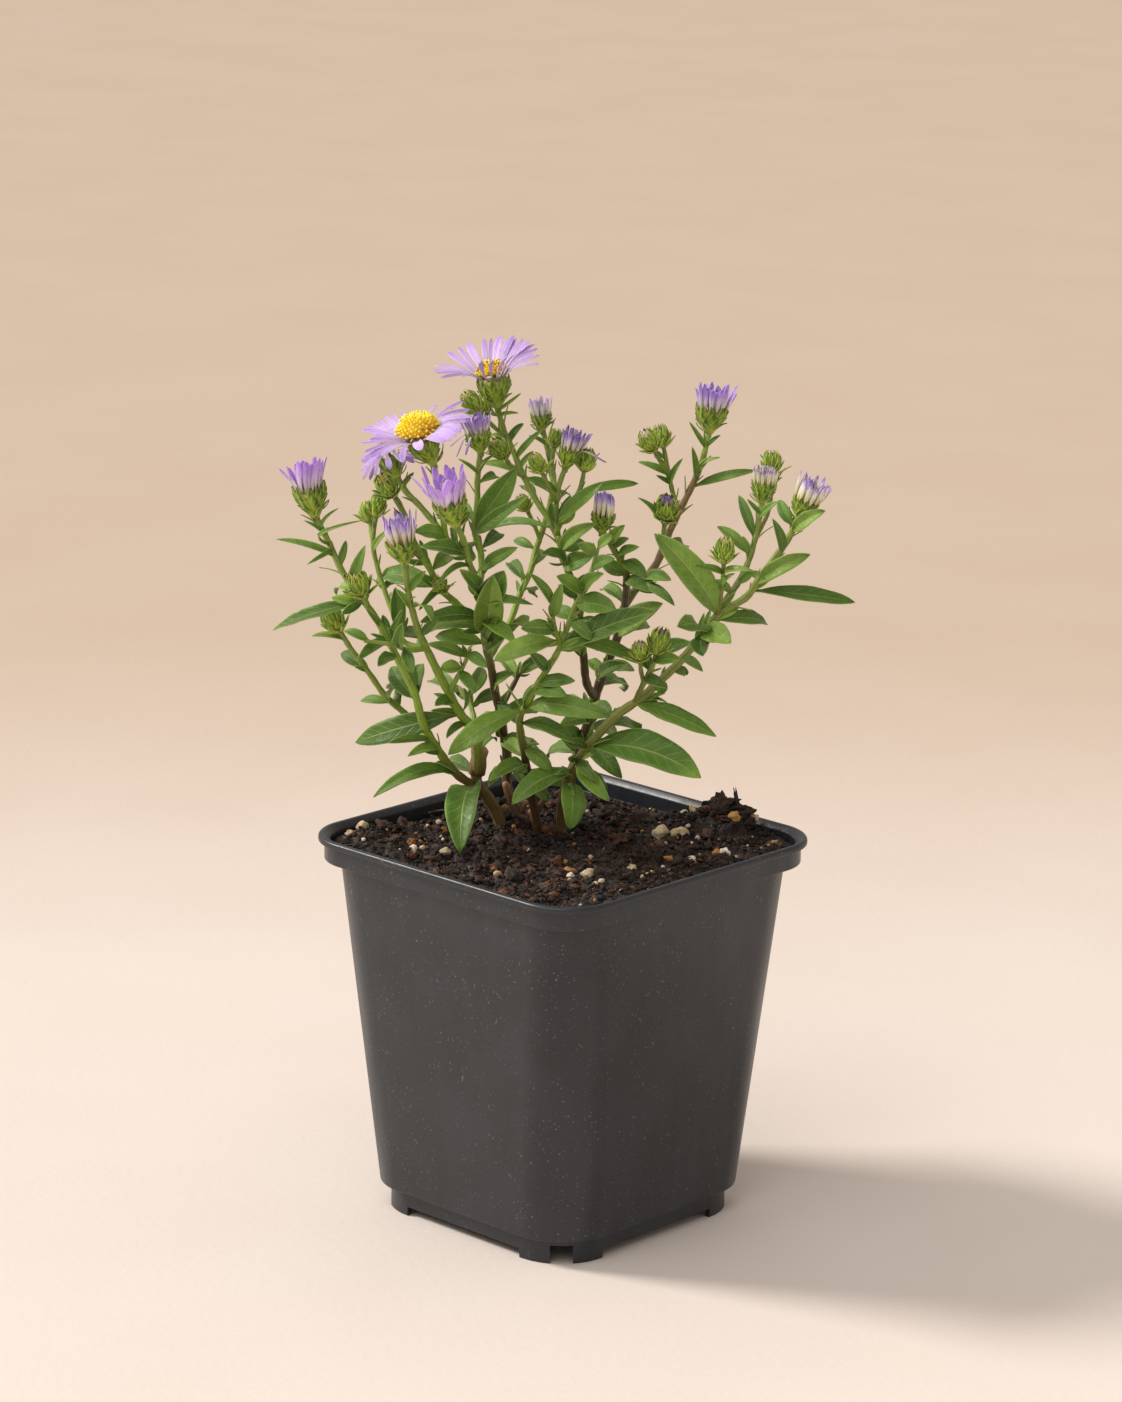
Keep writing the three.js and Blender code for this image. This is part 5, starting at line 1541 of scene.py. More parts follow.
    def bed(self) -> Shape:
        """The block of soil: a crumbly top over a skirt and straight sides.

        Returns:
            A new bmesh.
        """
        shape, _, tint = new_shape()
        bmesh.ops.create_grid(shape, x_segments=self.cells, y_segments=self.cells, size=1.0)
        for vert in shape.verts:
            x, y = self.to_wall(vert.co.x, vert.co.y)
            vert.co = (x, y, self.height(x, y))
            vert[tint] = Grain.PEAT.tone(self.draw)
        inner = self.half
        for half, height in (self.skirt, self.foot):
            rim = [edge for edge in shape.edges if edge.is_boundary]
            made = bmesh.ops.extrude_edge_only(shape, edges=rim)["geom"]
            for vert in (item for item in made if isinstance(item, bmesh.types.BMVert)):
                vert.co = (vert.co.x * half / inner, vert.co.y * half / inner, height)
            inner = half
        rim = [edge for edge in shape.edges if edge.is_boundary]
        bmesh.ops.holes_fill(shape, edges=rim, sides=0)
        bmesh.ops.recalc_face_normals(shape, faces=shape.faces)
        return shape

    def lump(self, place: Vector, radius: float, flat: tuple[float, float, float],
             kind: Grain, level: int = 2, rough: float = 0.4) -> Shape:
        """A rough lump.

        Args:
            place: its middle.
            radius: its radius.
            flat: its three proportions.
            kind: what it is, for its colour.
            level: fineness of the ball that it starts from.
            rough: how far its surface departs, as a share of the radius.

        Returns:
            A new bmesh.
        """
        shape, _, tint = new_shape()
        bmesh.ops.create_icosphere(shape, subdivisions=level, radius=1.0)
        shift = Vector([self.draw.uniform(-50, 50) for _ in range(3)])
        tone = kind.tone(self.draw)
        for vert in shape.verts:
            vert.co *= 1 + rough * noise.noise(vert.co * 1.7 + shift) * 2
            vert[tint] = tone
        turn = Matrix.Rotation(self.draw.uniform(0, 6.3), 4, "Z") @ Matrix.Rotation(
            self.draw.uniform(-0.9, 0.9), 4, "X")
        size = Matrix.Diagonal((*(radius * share for share in flat), 1))
        bmesh.ops.transform(shape, matrix=Matrix.Translation(place) @ turn @ size,
                            verts=shape.verts)
        return shape

    def scatter(self, spare: float) -> Vector:
        """A random place on the surface, this far from the wall.

        Args:
            spare: the distance.

        Returns:
            The place.
        """
        while True:
            x, y = (self.draw.uniform(-self.half, self.half) for _ in range(2))
            if self.fits(x, y, spare):
                return Vector((x, y, self.height(x, y)))

    def on_bed(self, across: float, toward: float, lift: float = 0.0) -> Vector:
        """A place over the surface by its plan position."""
        plan = on_ground(across, toward)
        return plan + UP * (self.height(plan.x, plan.y) + lift)

    def crumb(self, piece: Piece, radius: float, spare: float, level: int) -> None:
        """Drops one crumb of peat, or sometimes of brown matter, on the bed.

        Args:
            piece: the crumbs.
            radius: its radius.
            spare: distance kept from the wall.
            level: fineness of its ball.
        """
        kind = self.draw.choices((Grain.PEAT, Grain.CLOD, Grain.BARK), (60, 32, 8))[0]
        flat = (1.0, self.draw.uniform(0.55, 1.0), self.draw.uniform(0.5, 0.95))
        place = self.scatter(spare) + UP * radius * 0.3
        piece.add(self.lump(place, radius, flat, kind, level, 0.6))

    def build(self) -> None:
        """Makes the soil block, then everything that lies on it."""
        peat = MoistPeat().material()
        bed = Piece("soil_bed", "soil", [peat])
        bed.add(self.bed())
        bed.finish(replaces=["soil"])
        crumbs = Piece("peat_crumbs", "soil", [peat])
        for _ in range(self.crumbs):
            self.crumb(crumbs, self.draw.uniform(0.3, 0.85), 1.2, 1)
        for _ in range(self.clods):
            radius = self.draw.uniform(0.7, 1.0 + 1.6 * self.draw.random() ** 2)
            self.crumb(crumbs, radius, 2.4, 2)
        crumbs.finish()
        self.bark()
        self.pumice()

    def bark(self) -> None:
        """Flakes and fibres over the bed, and the dark bark of the heap."""
        piece = Piece("bark_flakes", "soil", [Bark().material()])
        heap = on_ground(*self.heap)
        for number in range(self.flakes):
            place = self.scatter(4.0)
            kind = self.draw.choice((Grain.BARK, Grain.CLOD, Grain.CLOD))
            radius = self.draw.uniform(0.9, 2.6)
            if number < self.flakes * 0.4:
                x = heap.x + self.draw.gauss(0, 3.6)
                y = heap.y + self.draw.gauss(0, 3.4)
                if not self.fits(x, y, 3.0):
                    continue
                place = Vector((x, y, self.height(x, y)))
                kind = self.draw.choice((Grain.CLOD, Grain.PEAT))
                radius = self.draw.uniform(1.4, 3.2)
            flat = (1.0, self.draw.uniform(0.35, 0.7), self.draw.uniform(0.16, 0.34))
            piece.add(self.lump(place + UP * 0.5, radius, flat, kind, 2, 0.5))
        for across, toward, radius, kind in self.lumps:
            piece.add(self.lump(self.on_bed(across, toward, radius * 0.3), radius,
                                (1.0, 0.8, 0.8), kind, 3, 0.6))
        self.heap_bark(piece)
        fibre = Gradient("0 2c1c12, 0.5 6b4a30, 1 4a3322")
        for _ in range(self.fibres):
            root = self.scatter(5.0) + UP * 0.3
            flat = (self.draw.gauss(0, 1), self.draw.gauss(0, 1))
            way = Vector((*flat, self.draw.uniform(0.0, 0.5))).normalized()
            bend = Vector((self.draw.gauss(0, 0.4), self.draw.gauss(0, 0.4), 0.1))
            reach = self.draw.uniform(2.0, 5.0)
            end = root + way * reach - UP * 0.5
            line = bezier([root, root + way * reach * 0.5 + bend, end], 4)
            thick = self.draw.uniform(0.1, 0.24)
            piece.add(Tube(line, [thick, thick, thick, thick * 0.8, thick * 0.4], fibre,
                           0.5, 5).shape())
        twig = [self.on_bed(-41, -33, 1.4), self.on_bed(-36, -34, 1.9), self.on_bed(-31, -36, 1.5),
                self.on_bed(-27, -38, 2.4)]
        dry = Gradient("0 8d7a68, 1 5c4a3c")
        piece.add(Tube(SmoothLine(twig).evenly(1.2), [0.35] * 80, dry, 0.5, 6).shape())
        piece.finish()

    def heap_bark(self, piece: Piece) -> None:
        """The flake that leans out of the heap, the curled shell beside it and a knob.

        Args:
            piece: the bark.
        """
        for foot, tip, width, deep, kind in (
                ((52.8, -14, 4.5), (49.8, -14, 13.6), 2.0, 0.8, Grain.PEAT),
                ((48.0, -14, 4.0), (45.6, -14, 12.4), 3.4, 1.8, Grain.CLOD),
                ((51.2, -13, 3.0), (53.2, -13, 6.0), 1.1, 0.8, Grain.PEAT),
                ((48, -17, 3.5), (45, -19, 7.6), 3.4, 1.6, Grain.CLOD),
                ((41.5, -16, 2.0), (45, -12, 5.5), 3.0, 1.6, Grain.CLOD)):
            low = on_ground(*foot[:2]) + UP * (self.heap_foot + foot[2])
            high = on_ground(*tip[:2]) + UP * (self.heap_top + tip[2])
            reach = high - low
            shape = self.lump(Vector(), 1.0, (1, 1, 1), kind, 3, 0.35)
            turn = reach.to_track_quat("Z", "Y").to_matrix().to_4x4()
            size = Matrix.Diagonal((width, deep, reach.length / 2, 1))
            middle = Matrix.Translation(low.lerp(high, 0.5))
            bmesh.ops.transform(shape, matrix=middle @ turn @ size, verts=shape.verts)
            piece.add(shape)

    def pumice(self) -> None:
        """The grains seen from the front at their places, and finer ones all over."""
        piece = Piece("pumice_grains", "soil", [Pumice().material()])
        for across, toward, radius, stretch, kind in self.stones:
            flat = (stretch, self.draw.uniform(0.8, 1.0), self.draw.uniform(0.75, 0.9))
            place = self.on_bed(across, toward, radius * 0.5)
            piece.add(self.lump(place, radius, flat, kind, 3 if radius > 1.2 else 2, 0.22))
        for _ in range(self.specks):
            radius = self.draw.uniform(0.25, 0.75)
            kind = self.draw.choice((Grain.CREAM, Grain.OCHRE, Grain.WHITE, Grain.OCHRE))
            place = self.scatter(1.6) + UP * radius * 0.6
            piece.add(self.lump(place, radius, (1.0, 0.85, 0.75), kind, 2, 0.3))
        piece.finish()


# Turn from one leaf or floret to the next round a stem or disc, in radians
GOLDEN_TURN = 2.39996
LOOSE_TURN = 2.4


class Finishes:
    """The plant's materials, made once and shared by all of its pieces."""

    def __init__(self) -> None:
        """Makes each of them."""
        self.leaf = LeafTissue("leaf_upper_skin", "a3b169", 0.6, 0.5).material()
        self.under = LeafTissue("leaf_underside", "a9b880", 0.5, 0.68, "93a673").material()
        self.bract = BractScale().material()
        self.stem = StemSkin().material()
        self.ray = RayPetal().material()
        self.floret = Pollen().material()


@dataclass
class LeafyStem:
    """One leafy stem: stems, leaves, small bracts and hairs."""

    name: str
    plant: Plant
    finishes: Finishes
    draw: Random
    step: float = 1.6
    stouter: float = 1.06
    bract_gap: float = 5.0
    bract_from: float = 176.0
    root_z: float = 98.0
    young_tip: str = "86983f"
    usual_face: float = 52.0
    usual_arch: float = 0.12
    large_width: float = 4.0
    lines: list[list[Vector]] = field(default_factory=list)

    GREENS = ("64862c", "5c7e26", "749434", "547626", "82a040", "6a8a34")

    def trace(self) -> None:
        """Works out the middle line of every shoot, each grown from those before it."""
        for shoot in self.plant.shoots:
            points = [seen(*place) for place in shoot.route]
            if shoot.rooted:
                points.insert(0, points[0].copy())
                points[0].z = self.root_z
            else:
                points[0] = self.nearest(*shoot.route[0][:2])[0]
            self.lines.append(SmoothLine(points).evenly(self.step))

    def nearest(self, across: float, up: float) -> tuple[Vector, Vector]:
        """Point of the shoots traced so far that shows nearest to a seen place.

        Args:
            across: seen place across.
            up: seen height.

        Returns:
            The point and the shoot's direction there.
        """
        best = (inf, UP, UP)
        for line in self.lines:
            for index, point in enumerate(line):
                place = seen_place(point)
                distance = hypot(place[0] - across, place[1] - up)
                if distance < best[0]:
                    after = line[min(index + 1, len(line) - 1)]
                    before = line[max(index - 1, 0)]
                    best = (distance, point, (after - before).normalized())
        return best[1], best[2]

    def skin(self, shoot: Shoot, line: list[Vector]) -> Gradient:
        """Colours of a shoot: bark up to the plant's own height, then green.

        Args:
            shoot: the shoot.
            line: its middle line.

        Returns:
            The colours.
        """
        if shoot.skin:
            return Gradient(shoot.skin)
        woody = sum(point.z < self.plant.bark_top for point in line) / (len(line) - 1)
        green = f"{self.plant.green}, 1 {self.young_tip}"
        if woody < 0.05:
            return Gradient(f"0 {green}")
        bark = self.plant.bark
        return Gradient(f"0 {bark}, {woody * 0.85} {bark}, {min(0.98, woody + 0.16)} {green}")

    def stems(self) -> None:
        """Ribbed stems with a slight swelling where leaves leave them."""
        piece = Piece(f"stems_{self.name}", "foliage", [self.finishes.stem])
        for shoot, line in zip(self.plant.shoots, self.lines):
            last = len(line) - 1
            radii = [
                (shoot.radii[0] + (shoot.radii[1] - shoot.radii[0]) * index / last)
                * self.stouter * (1 + 0.07 * sin(index * 1.9 + last))
                for index in range(last + 1)
            ]
            colours = self.skin(shoot, line)
            piece.add(Tube(line, radii, colours, self.draw.random(), 10, 0.04).shape())
            self.hairs(piece, line, radii)
        for entry in self.plant.stubs:
            self.stub(piece, entry)
        piece.finish(replaces=[f"leafy_stem_{self.name}"])

    def stub(self, piece: Piece, entry: tuple[float | str, ...]) -> None:
        """A cut or dead side stem.

        Args:
            piece: the stems.
            entry: foot across and up, length, radius, lean to the right and colour.
        """
        across, up, reach, radius, lean, code = entry
        foot = self.nearest(across, up)[0]
        tip = foot + (UP * reach + ACROSS * lean)
        places = [foot.lerp(tip, share) for share in (0.0, 0.3, 0.6, 0.85, 1.0)]
        radii = [radius * share for share in (1.0, 1.05, 0.92, 1.08, 0.7)]
        colours = Gradient(f"0 5a4326, 0.6 {code}, 1 c79a62")
        piece.add(Tube(places, radii, colours, 0.2, 9, 0.12).shape())

    def hairs(self, piece: Piece, line: list[Vector], radii: list[float]) -> None:
        """Short pale hairs that stand off a shoot.

        Args:
            piece: the stems.
            line: the shoot's middle line.
            radii: the shoot's radius at each place.
        """
        colours = Gradient("0 9fae74, 1 cdd4b0")
        directions = tangents(line)
        for index in range(3, len(line)):
            for _ in range(3):
                out = Vector([self.draw.gauss(0, 1) for _ in range(3)])
                out = (out - directions[index] * out.dot(directions[index])).normalized()
                root = line[index] + out * radii[index] * 0.9
                length = self.draw.uniform(0.3, 0.6)
                tip = root + out * length + directions[index] * length * 0.4
                piece.add(Tube([root, tip], [0.035, 0.012], colours, 0.5, 3).shape())

    def leaf(self, entry: tuple[float, ...]) -> Blade:
        """One listed leaf.

        Args:
            entry: base across and up, tip across, up and toward, width, and what the leaf has
                of its own of face, arch and lean.

        Returns:
            The blade.
        """
        across, up, tip_across, tip_up, tip_toward, width, *rest = entry
        face = radians(rest[0] if rest else self.usual_face)
        arch = rest[1] if len(rest) > 1 else self.usual_arch
        base = self.nearest(across, up)[0]
        tip = seen(tip_across, tip_up, tip_toward)
        facing = UP * cos(face) + TOWARD * sin(face)
        facing += ACROSS * (rest[2] if len(rest) > 2 else self.draw.uniform(-0.35, 0.3))
        large = width >= self.large_width
        return self.blade(base, tip, facing, width, arch * self.draw.uniform(0.75, 1.35), large)

    def blade(self, base: Vector, tip: Vector, facing: Vector, width: float, arch: float,
              large: bool) -> Blade:
        """A leaf between two places.

        Args:
            base: where it leaves its stem.
            tip: where it ends.
            facing: where its upper side looks.
            width: its greatest width.
            arch: how far its middle rises, as a share of its length.
            large: whether it gets a finer grid.

        Returns:
            The blade.
        """
        chord = tip - base
        side = chord.cross(facing).normalized()
        normal = side.cross(chord).normalized()
        rise = chord.length * arch * 2
        sway = side * chord.length * self.draw.uniform(-0.06, 0.06)
        bend = base.lerp(tip, 0.4) + normal * rise + sway
        droop = base.lerp(tip, 0.8) + normal * (rise * 0.5) + sway * 0.5
        first, second = self.draw.choice(self.GREENS), self.draw.choice(self.GREENS)
        return Blade(
            bezier([base, bend, droop, tip], 14 if large else 9), facing, width,
            Outline.LEAF if width > 2.4 else Outline.LINE,
            Gradient(f"0 8a9a48, 0.16 {first}, 0.7 {first}, 1 {second}"),
            self.draw.random(), fold=self.draw.uniform(0.15, 0.5),
            twist=self.draw.uniform(-0.6, 0.6), ripple=0.1 if large else 0.0,
            cells=6 if large else 4, shade=self.draw.uniform(0.78, 1.18))

    def leaves(self) -> None:
        """The listed leaves, each with two young ones in its armpit."""
        piece = Piece(f"leaves_{self.name}", "foliage", [self.finishes.leaf, self.finishes.under])
        for entry in self.plant.leaves:
            piece.add(self.leaf(entry).shape())
            if entry[5] >= 3.4:
                self.young_leaves(piece, entry)
        piece.finish(replaces=[f"leafy_stem_{self.name}"], thickness=0.26, under=1)

    def young_leaves(self, piece: Piece, entry: tuple[float, ...]) -> None:
        """Small leaves between a leaf and its stem.

        Args:
            piece: the leaves.
            entry: the listed leaf.
        """
        base, way = self.nearest(*entry[:2])
        tip = seen(*entry[2:5])
        chord = tip - base
        along = way if way.z > 0 else -way
        for _ in range(self.draw.choice((1, 2, 2, 3))):
            reach = min(9.5, max(3.6, chord.length * self.draw.uniform(0.26, 0.5)))
            drift = Vector([self.draw.gauss(0, 0.34) for _ in range(3)])
            aim = (chord.normalized() * self.draw.uniform(0.25, 0.9) + along * 0.7 + drift)
            end = base + aim.normalized() * reach
            width = reach * self.draw.uniform(0.2, 0.34)
            facing = (UP * 0.5 + TOWARD * 0.6 + drift).normalized()
            leaf = self.blade(base, end, facing, width, self.draw.uniform(-0.05, 0.16), False)
            leaf.shade *= 1.12
            piece.add(leaf.shape())

    def stalk_bracts(self, piece: Piece) -> None:
        """Thin dark bracts up the flower stalks, upright and curving out.

        Args:
            piece: the bracts.
        """
        for shoot, line in zip(self.plant.shoots, self.lines):
            travelled = self.draw.uniform(0, self.bract_gap)
            turn = self.draw.uniform(0, tau)
            directions = tangents(line)
            for index in range(2, len(line) - 1):
                travelled += (line[index] - line[index - 1]).length
                if line[index].z < self.bract_from or travelled < self.bract_gap:
                    continue
                travelled = self.draw.uniform(-1.5, 1.5)
                turn += LOOSE_TURN
                axes = Axes(directions[index])
                up, out = axes.up, axes.way(turn)
                reach = self.draw.uniform(3.4, 7.4)
                foot = line[index] + out * 0.5
                spread = self.draw.uniform(0.35, 0.8)
                points = [foot, foot + up * reach * 0.5 + out * reach * 0.25,
                          foot + up * reach * 0.85 + out * reach * spread]
                tone = self.draw.choice(("5d7426", "4f6620", "74893a"))
                piece.add(Blade(bezier(points, 6), up * 0.3 - out, self.draw.uniform(0.6, 1.3),
                                Outline.BRACT, Gradient(f"0 8b9c48, 0.4 {tone}, 1 54562a"),
                                self.draw.random(), fold=0.4, cells=2).shape())

    def build(self, bracts: Piece) -> None:
        """Builds stems first, then what grows on them.

        Args:
            bracts: where its small bracts go.
        """
        self.trace()
        self.stems()
        self.leaves()
        self.stalk_bracts(bracts)


@dataclass
class FlowerHead:
    """One flower head: cup, bracts, rays and, where it is open, its disc."""

    name: str
    head: Head
    finishes: Finishes
    draw: Random
    gap: float = 0.35
    plate: float = 1.2
    florets: int = 190
    hearts: int = 7
    # Rows of bracts: start and end on the cup's height, number, bend outward and width
    scales: tuple[tuple[float, float, int, float, float], ...] = (
        (-0.12, 0.46, 6, 0.5, 0.85), (0.0, 0.72, 8, 0.26, 1.0), (0.2, 0.96, 9, 0.08, 1.1),
        (0.4, 1.14, 10, -0.04, 1.05))
    # The disc's core from its middle up: share of the dome's height, share of its radius
    core: tuple[tuple[float, float], ...] = (
        (0.0, 0.74), (0.16, 0.92), (0.5, 0.86), (0.8, 0.66), (1.0, 0.3))

    def __post_init__(self) -> None:
        """Works out the head's own directions."""
        self.base = seen(*self.head.base)
        self.rim = seen(*self.head.rim)
        self.axes = Axes(self.rim - self.base)
        self.up = self.axes.up
        self.height = (self.rim - self.base).length
        self.wide = self.head.opening in (Opening.OPEN, Opening.FADED)

    def at(self, turn: float, out: float, up: float) -> Vector:
        """Place by turn round the axis, distance out and height over the cup's foot."""
        return self.base + self.axes.way(turn) * out + self.up * up

    def cup_radius(self, share: float) -> float:
        """Radius of the green cup at a share of its height."""
        bowl = sin(min(1.0, max(0.0, share)) * pi / 2) ** 0.85
        return self.head.cup * (0.22 + 0.74 * bowl)

    def cup(self, cups: Piece, bracts: Piece) -> None:
        """Body of the cup, four rows of bracts that overlap like tiles, and thin loose ones.

        Args:
            cups: closed bodies.
            bracts: sheets.
        """
        steps, low = 9, -0.28
        top = 0.98 if self.wide else 0.8 - self.head.bare
        shares = [low + (top - low) * number / steps for number in range(steps + 1)]
        places = [self.base + self.up * self.height * share for share in shares]
        radii = [max(0.9, self.cup_radius(share) * 0.84 * ease(-0.4, 0.15, share))
                 for share in shares]
        body = Gradient("0 7e9138, 0.3 76882f, 1 b0ae62")
        cups.add(Tube(places, radii, body, 0.3, 16).shape(), 0)
        for row, (start, end, number, spread, width) in enumerate(self.scales):
            for turn in staggered(number, row, 0.15, self.draw):
                reach = end * self.draw.uniform(0.94, 1.05) * (1 - self.head.bare)
                bracts.add(self.bract(turn, start, reach, spread, width, row).shape())
        for _ in range(self.draw.choice((3, 4, 5))):
            bracts.add(self.loose_bract().shape())

    def bract(self, turn: float, start: float, end: float, spread: float,
              width: float, row: int) -> Blade:
        """One bract that lies on the cup and turns its tip out.

        Args:
            turn: angle round the cup.
            start: share of the cup's height where it begins.
            end: share of the cup's height where it ends.
            spread: how far its tip bends out, 0 for none.
            width: its greatest width, as a share of the usual.
            row: 0 for the lowest.

        Returns:
            The blade.
        """
        spread *= self.draw.uniform(0.4, 1.5)
        middle = start + (end - start) * 0.45
        high = start + (end - start) * 0.82
        foot = self.at(turn, self.cup_radius(start) * 0.8, start * self.height)
        belly = self.at(turn, self.cup_radius(middle) * 1.06, middle * self.height)
        shoulder = self.at(turn, self.cup_radius(high) * 1.08 + spread * 0.4, high * self.height)
        tip = self.at(turn + self.draw.uniform(-0.1, 0.1),
                      self.cup_radius(end) * 0.98 + spread * 2.2, end * self.height - spread * 0.6)
        size = self.head.cup / 4.8
        tone = self.draw.choice(("7f9c22", "8fac2a", "6a8a1c"))
        tip_tone = "6a4a35" if self.head.flushed and row > 1 else "4d5527"
        if self.head.flushed and row > 1 and self.draw.random() < 0.5:
            tip_tone = "84482f"
        stops = f"0 aab44a, 0.3 9cb038, 0.62 {tone}, 0.9 {tone}, 1 {tip_tone}"
        return Blade(bezier([foot, belly, shoulder, tip], 7), self.axes.way(turn),
                     2.9 * width * size * self.draw.uniform(0.88, 1.12), Outline.BRACT,
                     Gradient(stops), self.draw.random(), fold=-0.3, cells=4,
                     shade=self.draw.uniform(0.85, 1.15))

    def loose_bract(self) -> Blade:
        """A thin bract low on the cup that curves away like a hair.

        Returns:
            The blade.
        """
        turn = self.draw.uniform(0, tau)
        out = self.axes.way(turn)
        reach = self.draw.uniform(2.6, 4.4)
        foot = self.at(turn, self.cup_radius(0.0) * 0.9, self.draw.uniform(-1.0, 1.4))
        points = [foot, foot + out * reach * 0.8 + self.up * reach * 0.2,
                  foot + out * reach * 1.05 + self.up * reach * self.draw.uniform(0.5, 0.9)]
        return Blade(bezier(points, 6), self.up - out * 0.3, self.draw.uniform(0.5, 0.8),
                     Outline.BRACT, Gradient("0 84974a, 0.5 56692a, 1 4a4526"),
                     self.draw.random(), fold=0.4, cells=2)

    def foot_of_ray(self, out: Vector, inset: float) -> Vector:
        """Where a ray leaves the cup.

        Args:
            out: direction out of the axis.
            inset: how far inside the ring, as a share of the cup.

        Returns:
            The place.
        """
        if self.wide:
            return self.rim + self.up * (self.gap + 0.5) + out * self.head.cup * 0.8
        sunk = 0.9 + self.head.bare * self.height
        return self.rim - self.up * sunk + out * self.head.cup * max(0.06, 0.86 - inset)

    def listed_ray(self, entry: tuple[float, ...], colours: Gradient) -> Blade:
        """One ray whose tip is known.

        Args:
            entry: turn, seen place of the tip across and up, width and shade.
            colours: colours from foot to tip.

        Returns:
            The blade.
        """
        degrees, across, up, width, *shade = entry
        width *= 0.86 if self.wide else 0.78
        turn = radians(degrees)
        out = self.axes.way(turn)
        head = self.head
        foot = self.foot_of_ray(out, 0.0)
        flat = seen(across, up, depth(foot))
        missing = sqrt(max(0.0, (head.length * 1.02) ** 2 - (flat - foot).length_squared))
        most = head.length * (abs(sin(turn)) * (1.15 if self.wide else 0.45) + 0.12)
        tip = seen(across, up, depth(foot) - copysign(min(missing, most), sin(turn)))
        reach = (tip - foot).length
        lift = radians(head.rise + (22 if self.wide else 8))
        start = out * cos(lift) + self.up * sin(lift)
        middle = foot + start * reach * 0.42
        droop = foot.lerp(tip, 0.78) + self.up * reach * (0.03 if self.wide else 0.0)
        facing = -out
        if self.wide:
            facing = self.up - out * sin(radians(head.rise)) + TOWARD * 0.5
        # A listed shade under 1 is painted shade on a ray that folds or faces away from the light
        return Blade(bezier([foot - out * 0.5 - self.up * 0.3, middle, droop, tip], 10), facing,
                     width, Outline.RAY, colours, self.draw.random(),
                     fold=self.draw.uniform(0.15, 0.45), twist=self.draw.uniform(-0.25, 0.25),
                     cells=4, shade=(shade[0] if shade else 1.0) * self.draw.uniform(0.9, 1.06))

    def ring_ray(self, turn: float, layer: int, colours: Gradient) -> Blade:
        """One ray of a ring.

        Args:
            turn: its place in the ring.
            layer: 0 for the outer layer, higher further in.
            colours: colours from foot to tip.

        Returns:
            The blade.
        """
        head = self.head
        out = self.axes.way(turn)
        lean = head.lean[0] * cos(turn) + head.lean[1] * sin(turn)
        lift = head.rise + lean + self.draw.uniform(-8, 6) + layer * (7 if self.wide else 2)
        length = head.length * self.draw.uniform(0.78, 1.06) * (1 - 0.05 * layer)
        start = self.foot_of_ray(out, layer * 0.3)
        angle = radians(lift)
        along = out * cos(angle) + self.up * sin(angle)
        over = self.up * cos(angle) - out * sin(angle)
        curl = self.draw.uniform(-0.04, 0.09) * length
        if head.opening is Opening.CLOSED:
            curl = self.draw.uniform(0.04, 0.13) * length
        if head.opening is Opening.FADED:
            start = start + out * 1.2
            curl = self.draw.uniform(-0.1, 0.25) * length
        points = [start - out * 0.4 - self.up * 0.4]
        points += [start + along * length * share + over * curl * bend
                   for share, bend in ((0.35, -0.4), (0.75, -0.2), (1.0, 1.0))]
        return Blade(bezier(points, 8), over if self.wide else -out,
                     head.width * self.draw.uniform(0.85, 1.08), Outline.RAY, colours,
                     self.draw.random(), fold=self.draw.uniform(0.15, 0.5),
                     twist=self.draw.uniform(-0.35, 0.35), cells=4,
                     shade=self.draw.uniform(0.86, 1.08))

    def rays(self) -> None:
        """The listed rays, and rings of others where there is room."""
        piece = Piece(f"ray_petals_{self.name}", "rays", [self.finishes.ray])
        colours = Gradient(self.head.colours)
        taken = [radians(entry[0]) for entry in self.head.listed]
        for entry in self.head.listed:
            piece.add(self.listed_ray(entry, colours).shape())
        layers = (self.head.ringed,) if self.wide else (0.55, 0.42, 0.25)
        for layer, share in enumerate(layers):
            total = max(4, round(self.head.rays * share)) if share else 0
            for turn in staggered(total, layer, 0.2, self.draw):
                near = min((abs(remainder(turn - other, tau)) for other in taken),
                           default=pi)
                if layer == 0 and near < pi / total:
                    continue
                piece.add(self.ring_ray(turn, layer, colours).shape())
        if not self.wide:
            self.heart(piece)
        piece.finish(replaces=[f"rays_{self.name}"], thickness=0.2)

    def heart(self, piece: Piece) -> None:
        """Young cream rays that fill the middle of a half-open head.

        Args:
            piece: the rays.
        """
        cream = Gradient("0 cfc98a, 0.6 e4dcc0, 1 b59ad2")
        for number in range(self.hearts):
            turn = number * LOOSE_TURN
            out = self.axes.way(turn) * self.head.cup * 0.11 * sqrt(number)
            foot = self.rim + self.up * self.gap + out
            reach = self.head.length * self.draw.uniform(0.5, 0.72)
            points = [foot, foot + self.up * reach * 0.6 + out * 0.3, foot + self.up * reach]
            piece.add(Blade(bezier(points, 5), -self.axes.way(turn), 1.1, Outline.RAY, cream,
                            self.draw.random(), fold=0.6, cells=2).shape())

    def floret(self, place: Vector, way: Vector, size: float, opened: bool,
               colours: Gradient) -> Shape:
        """A disc floret: a slim tube that widens to its mouth, or a closed knob.

        Args:
            place: its foot.
            way: where it points.
            size: its radius.
            opened: whether it is open.
            colours: colours from foot to mouth.

        Returns:
            A new bmesh.
        """
        length = size * (4.2 if opened else 2.0)
        places = [place + way * length * share for share in (0.0, 0.45, 0.75, 1.0)]
        widths = (0.4, 0.45, 0.82, 0.3) if opened else (0.45, 0.62, 0.7, 0.25)
        return Tube(places, [size * width for width in widths], colours, self.draw.random(),
                    5).shape()

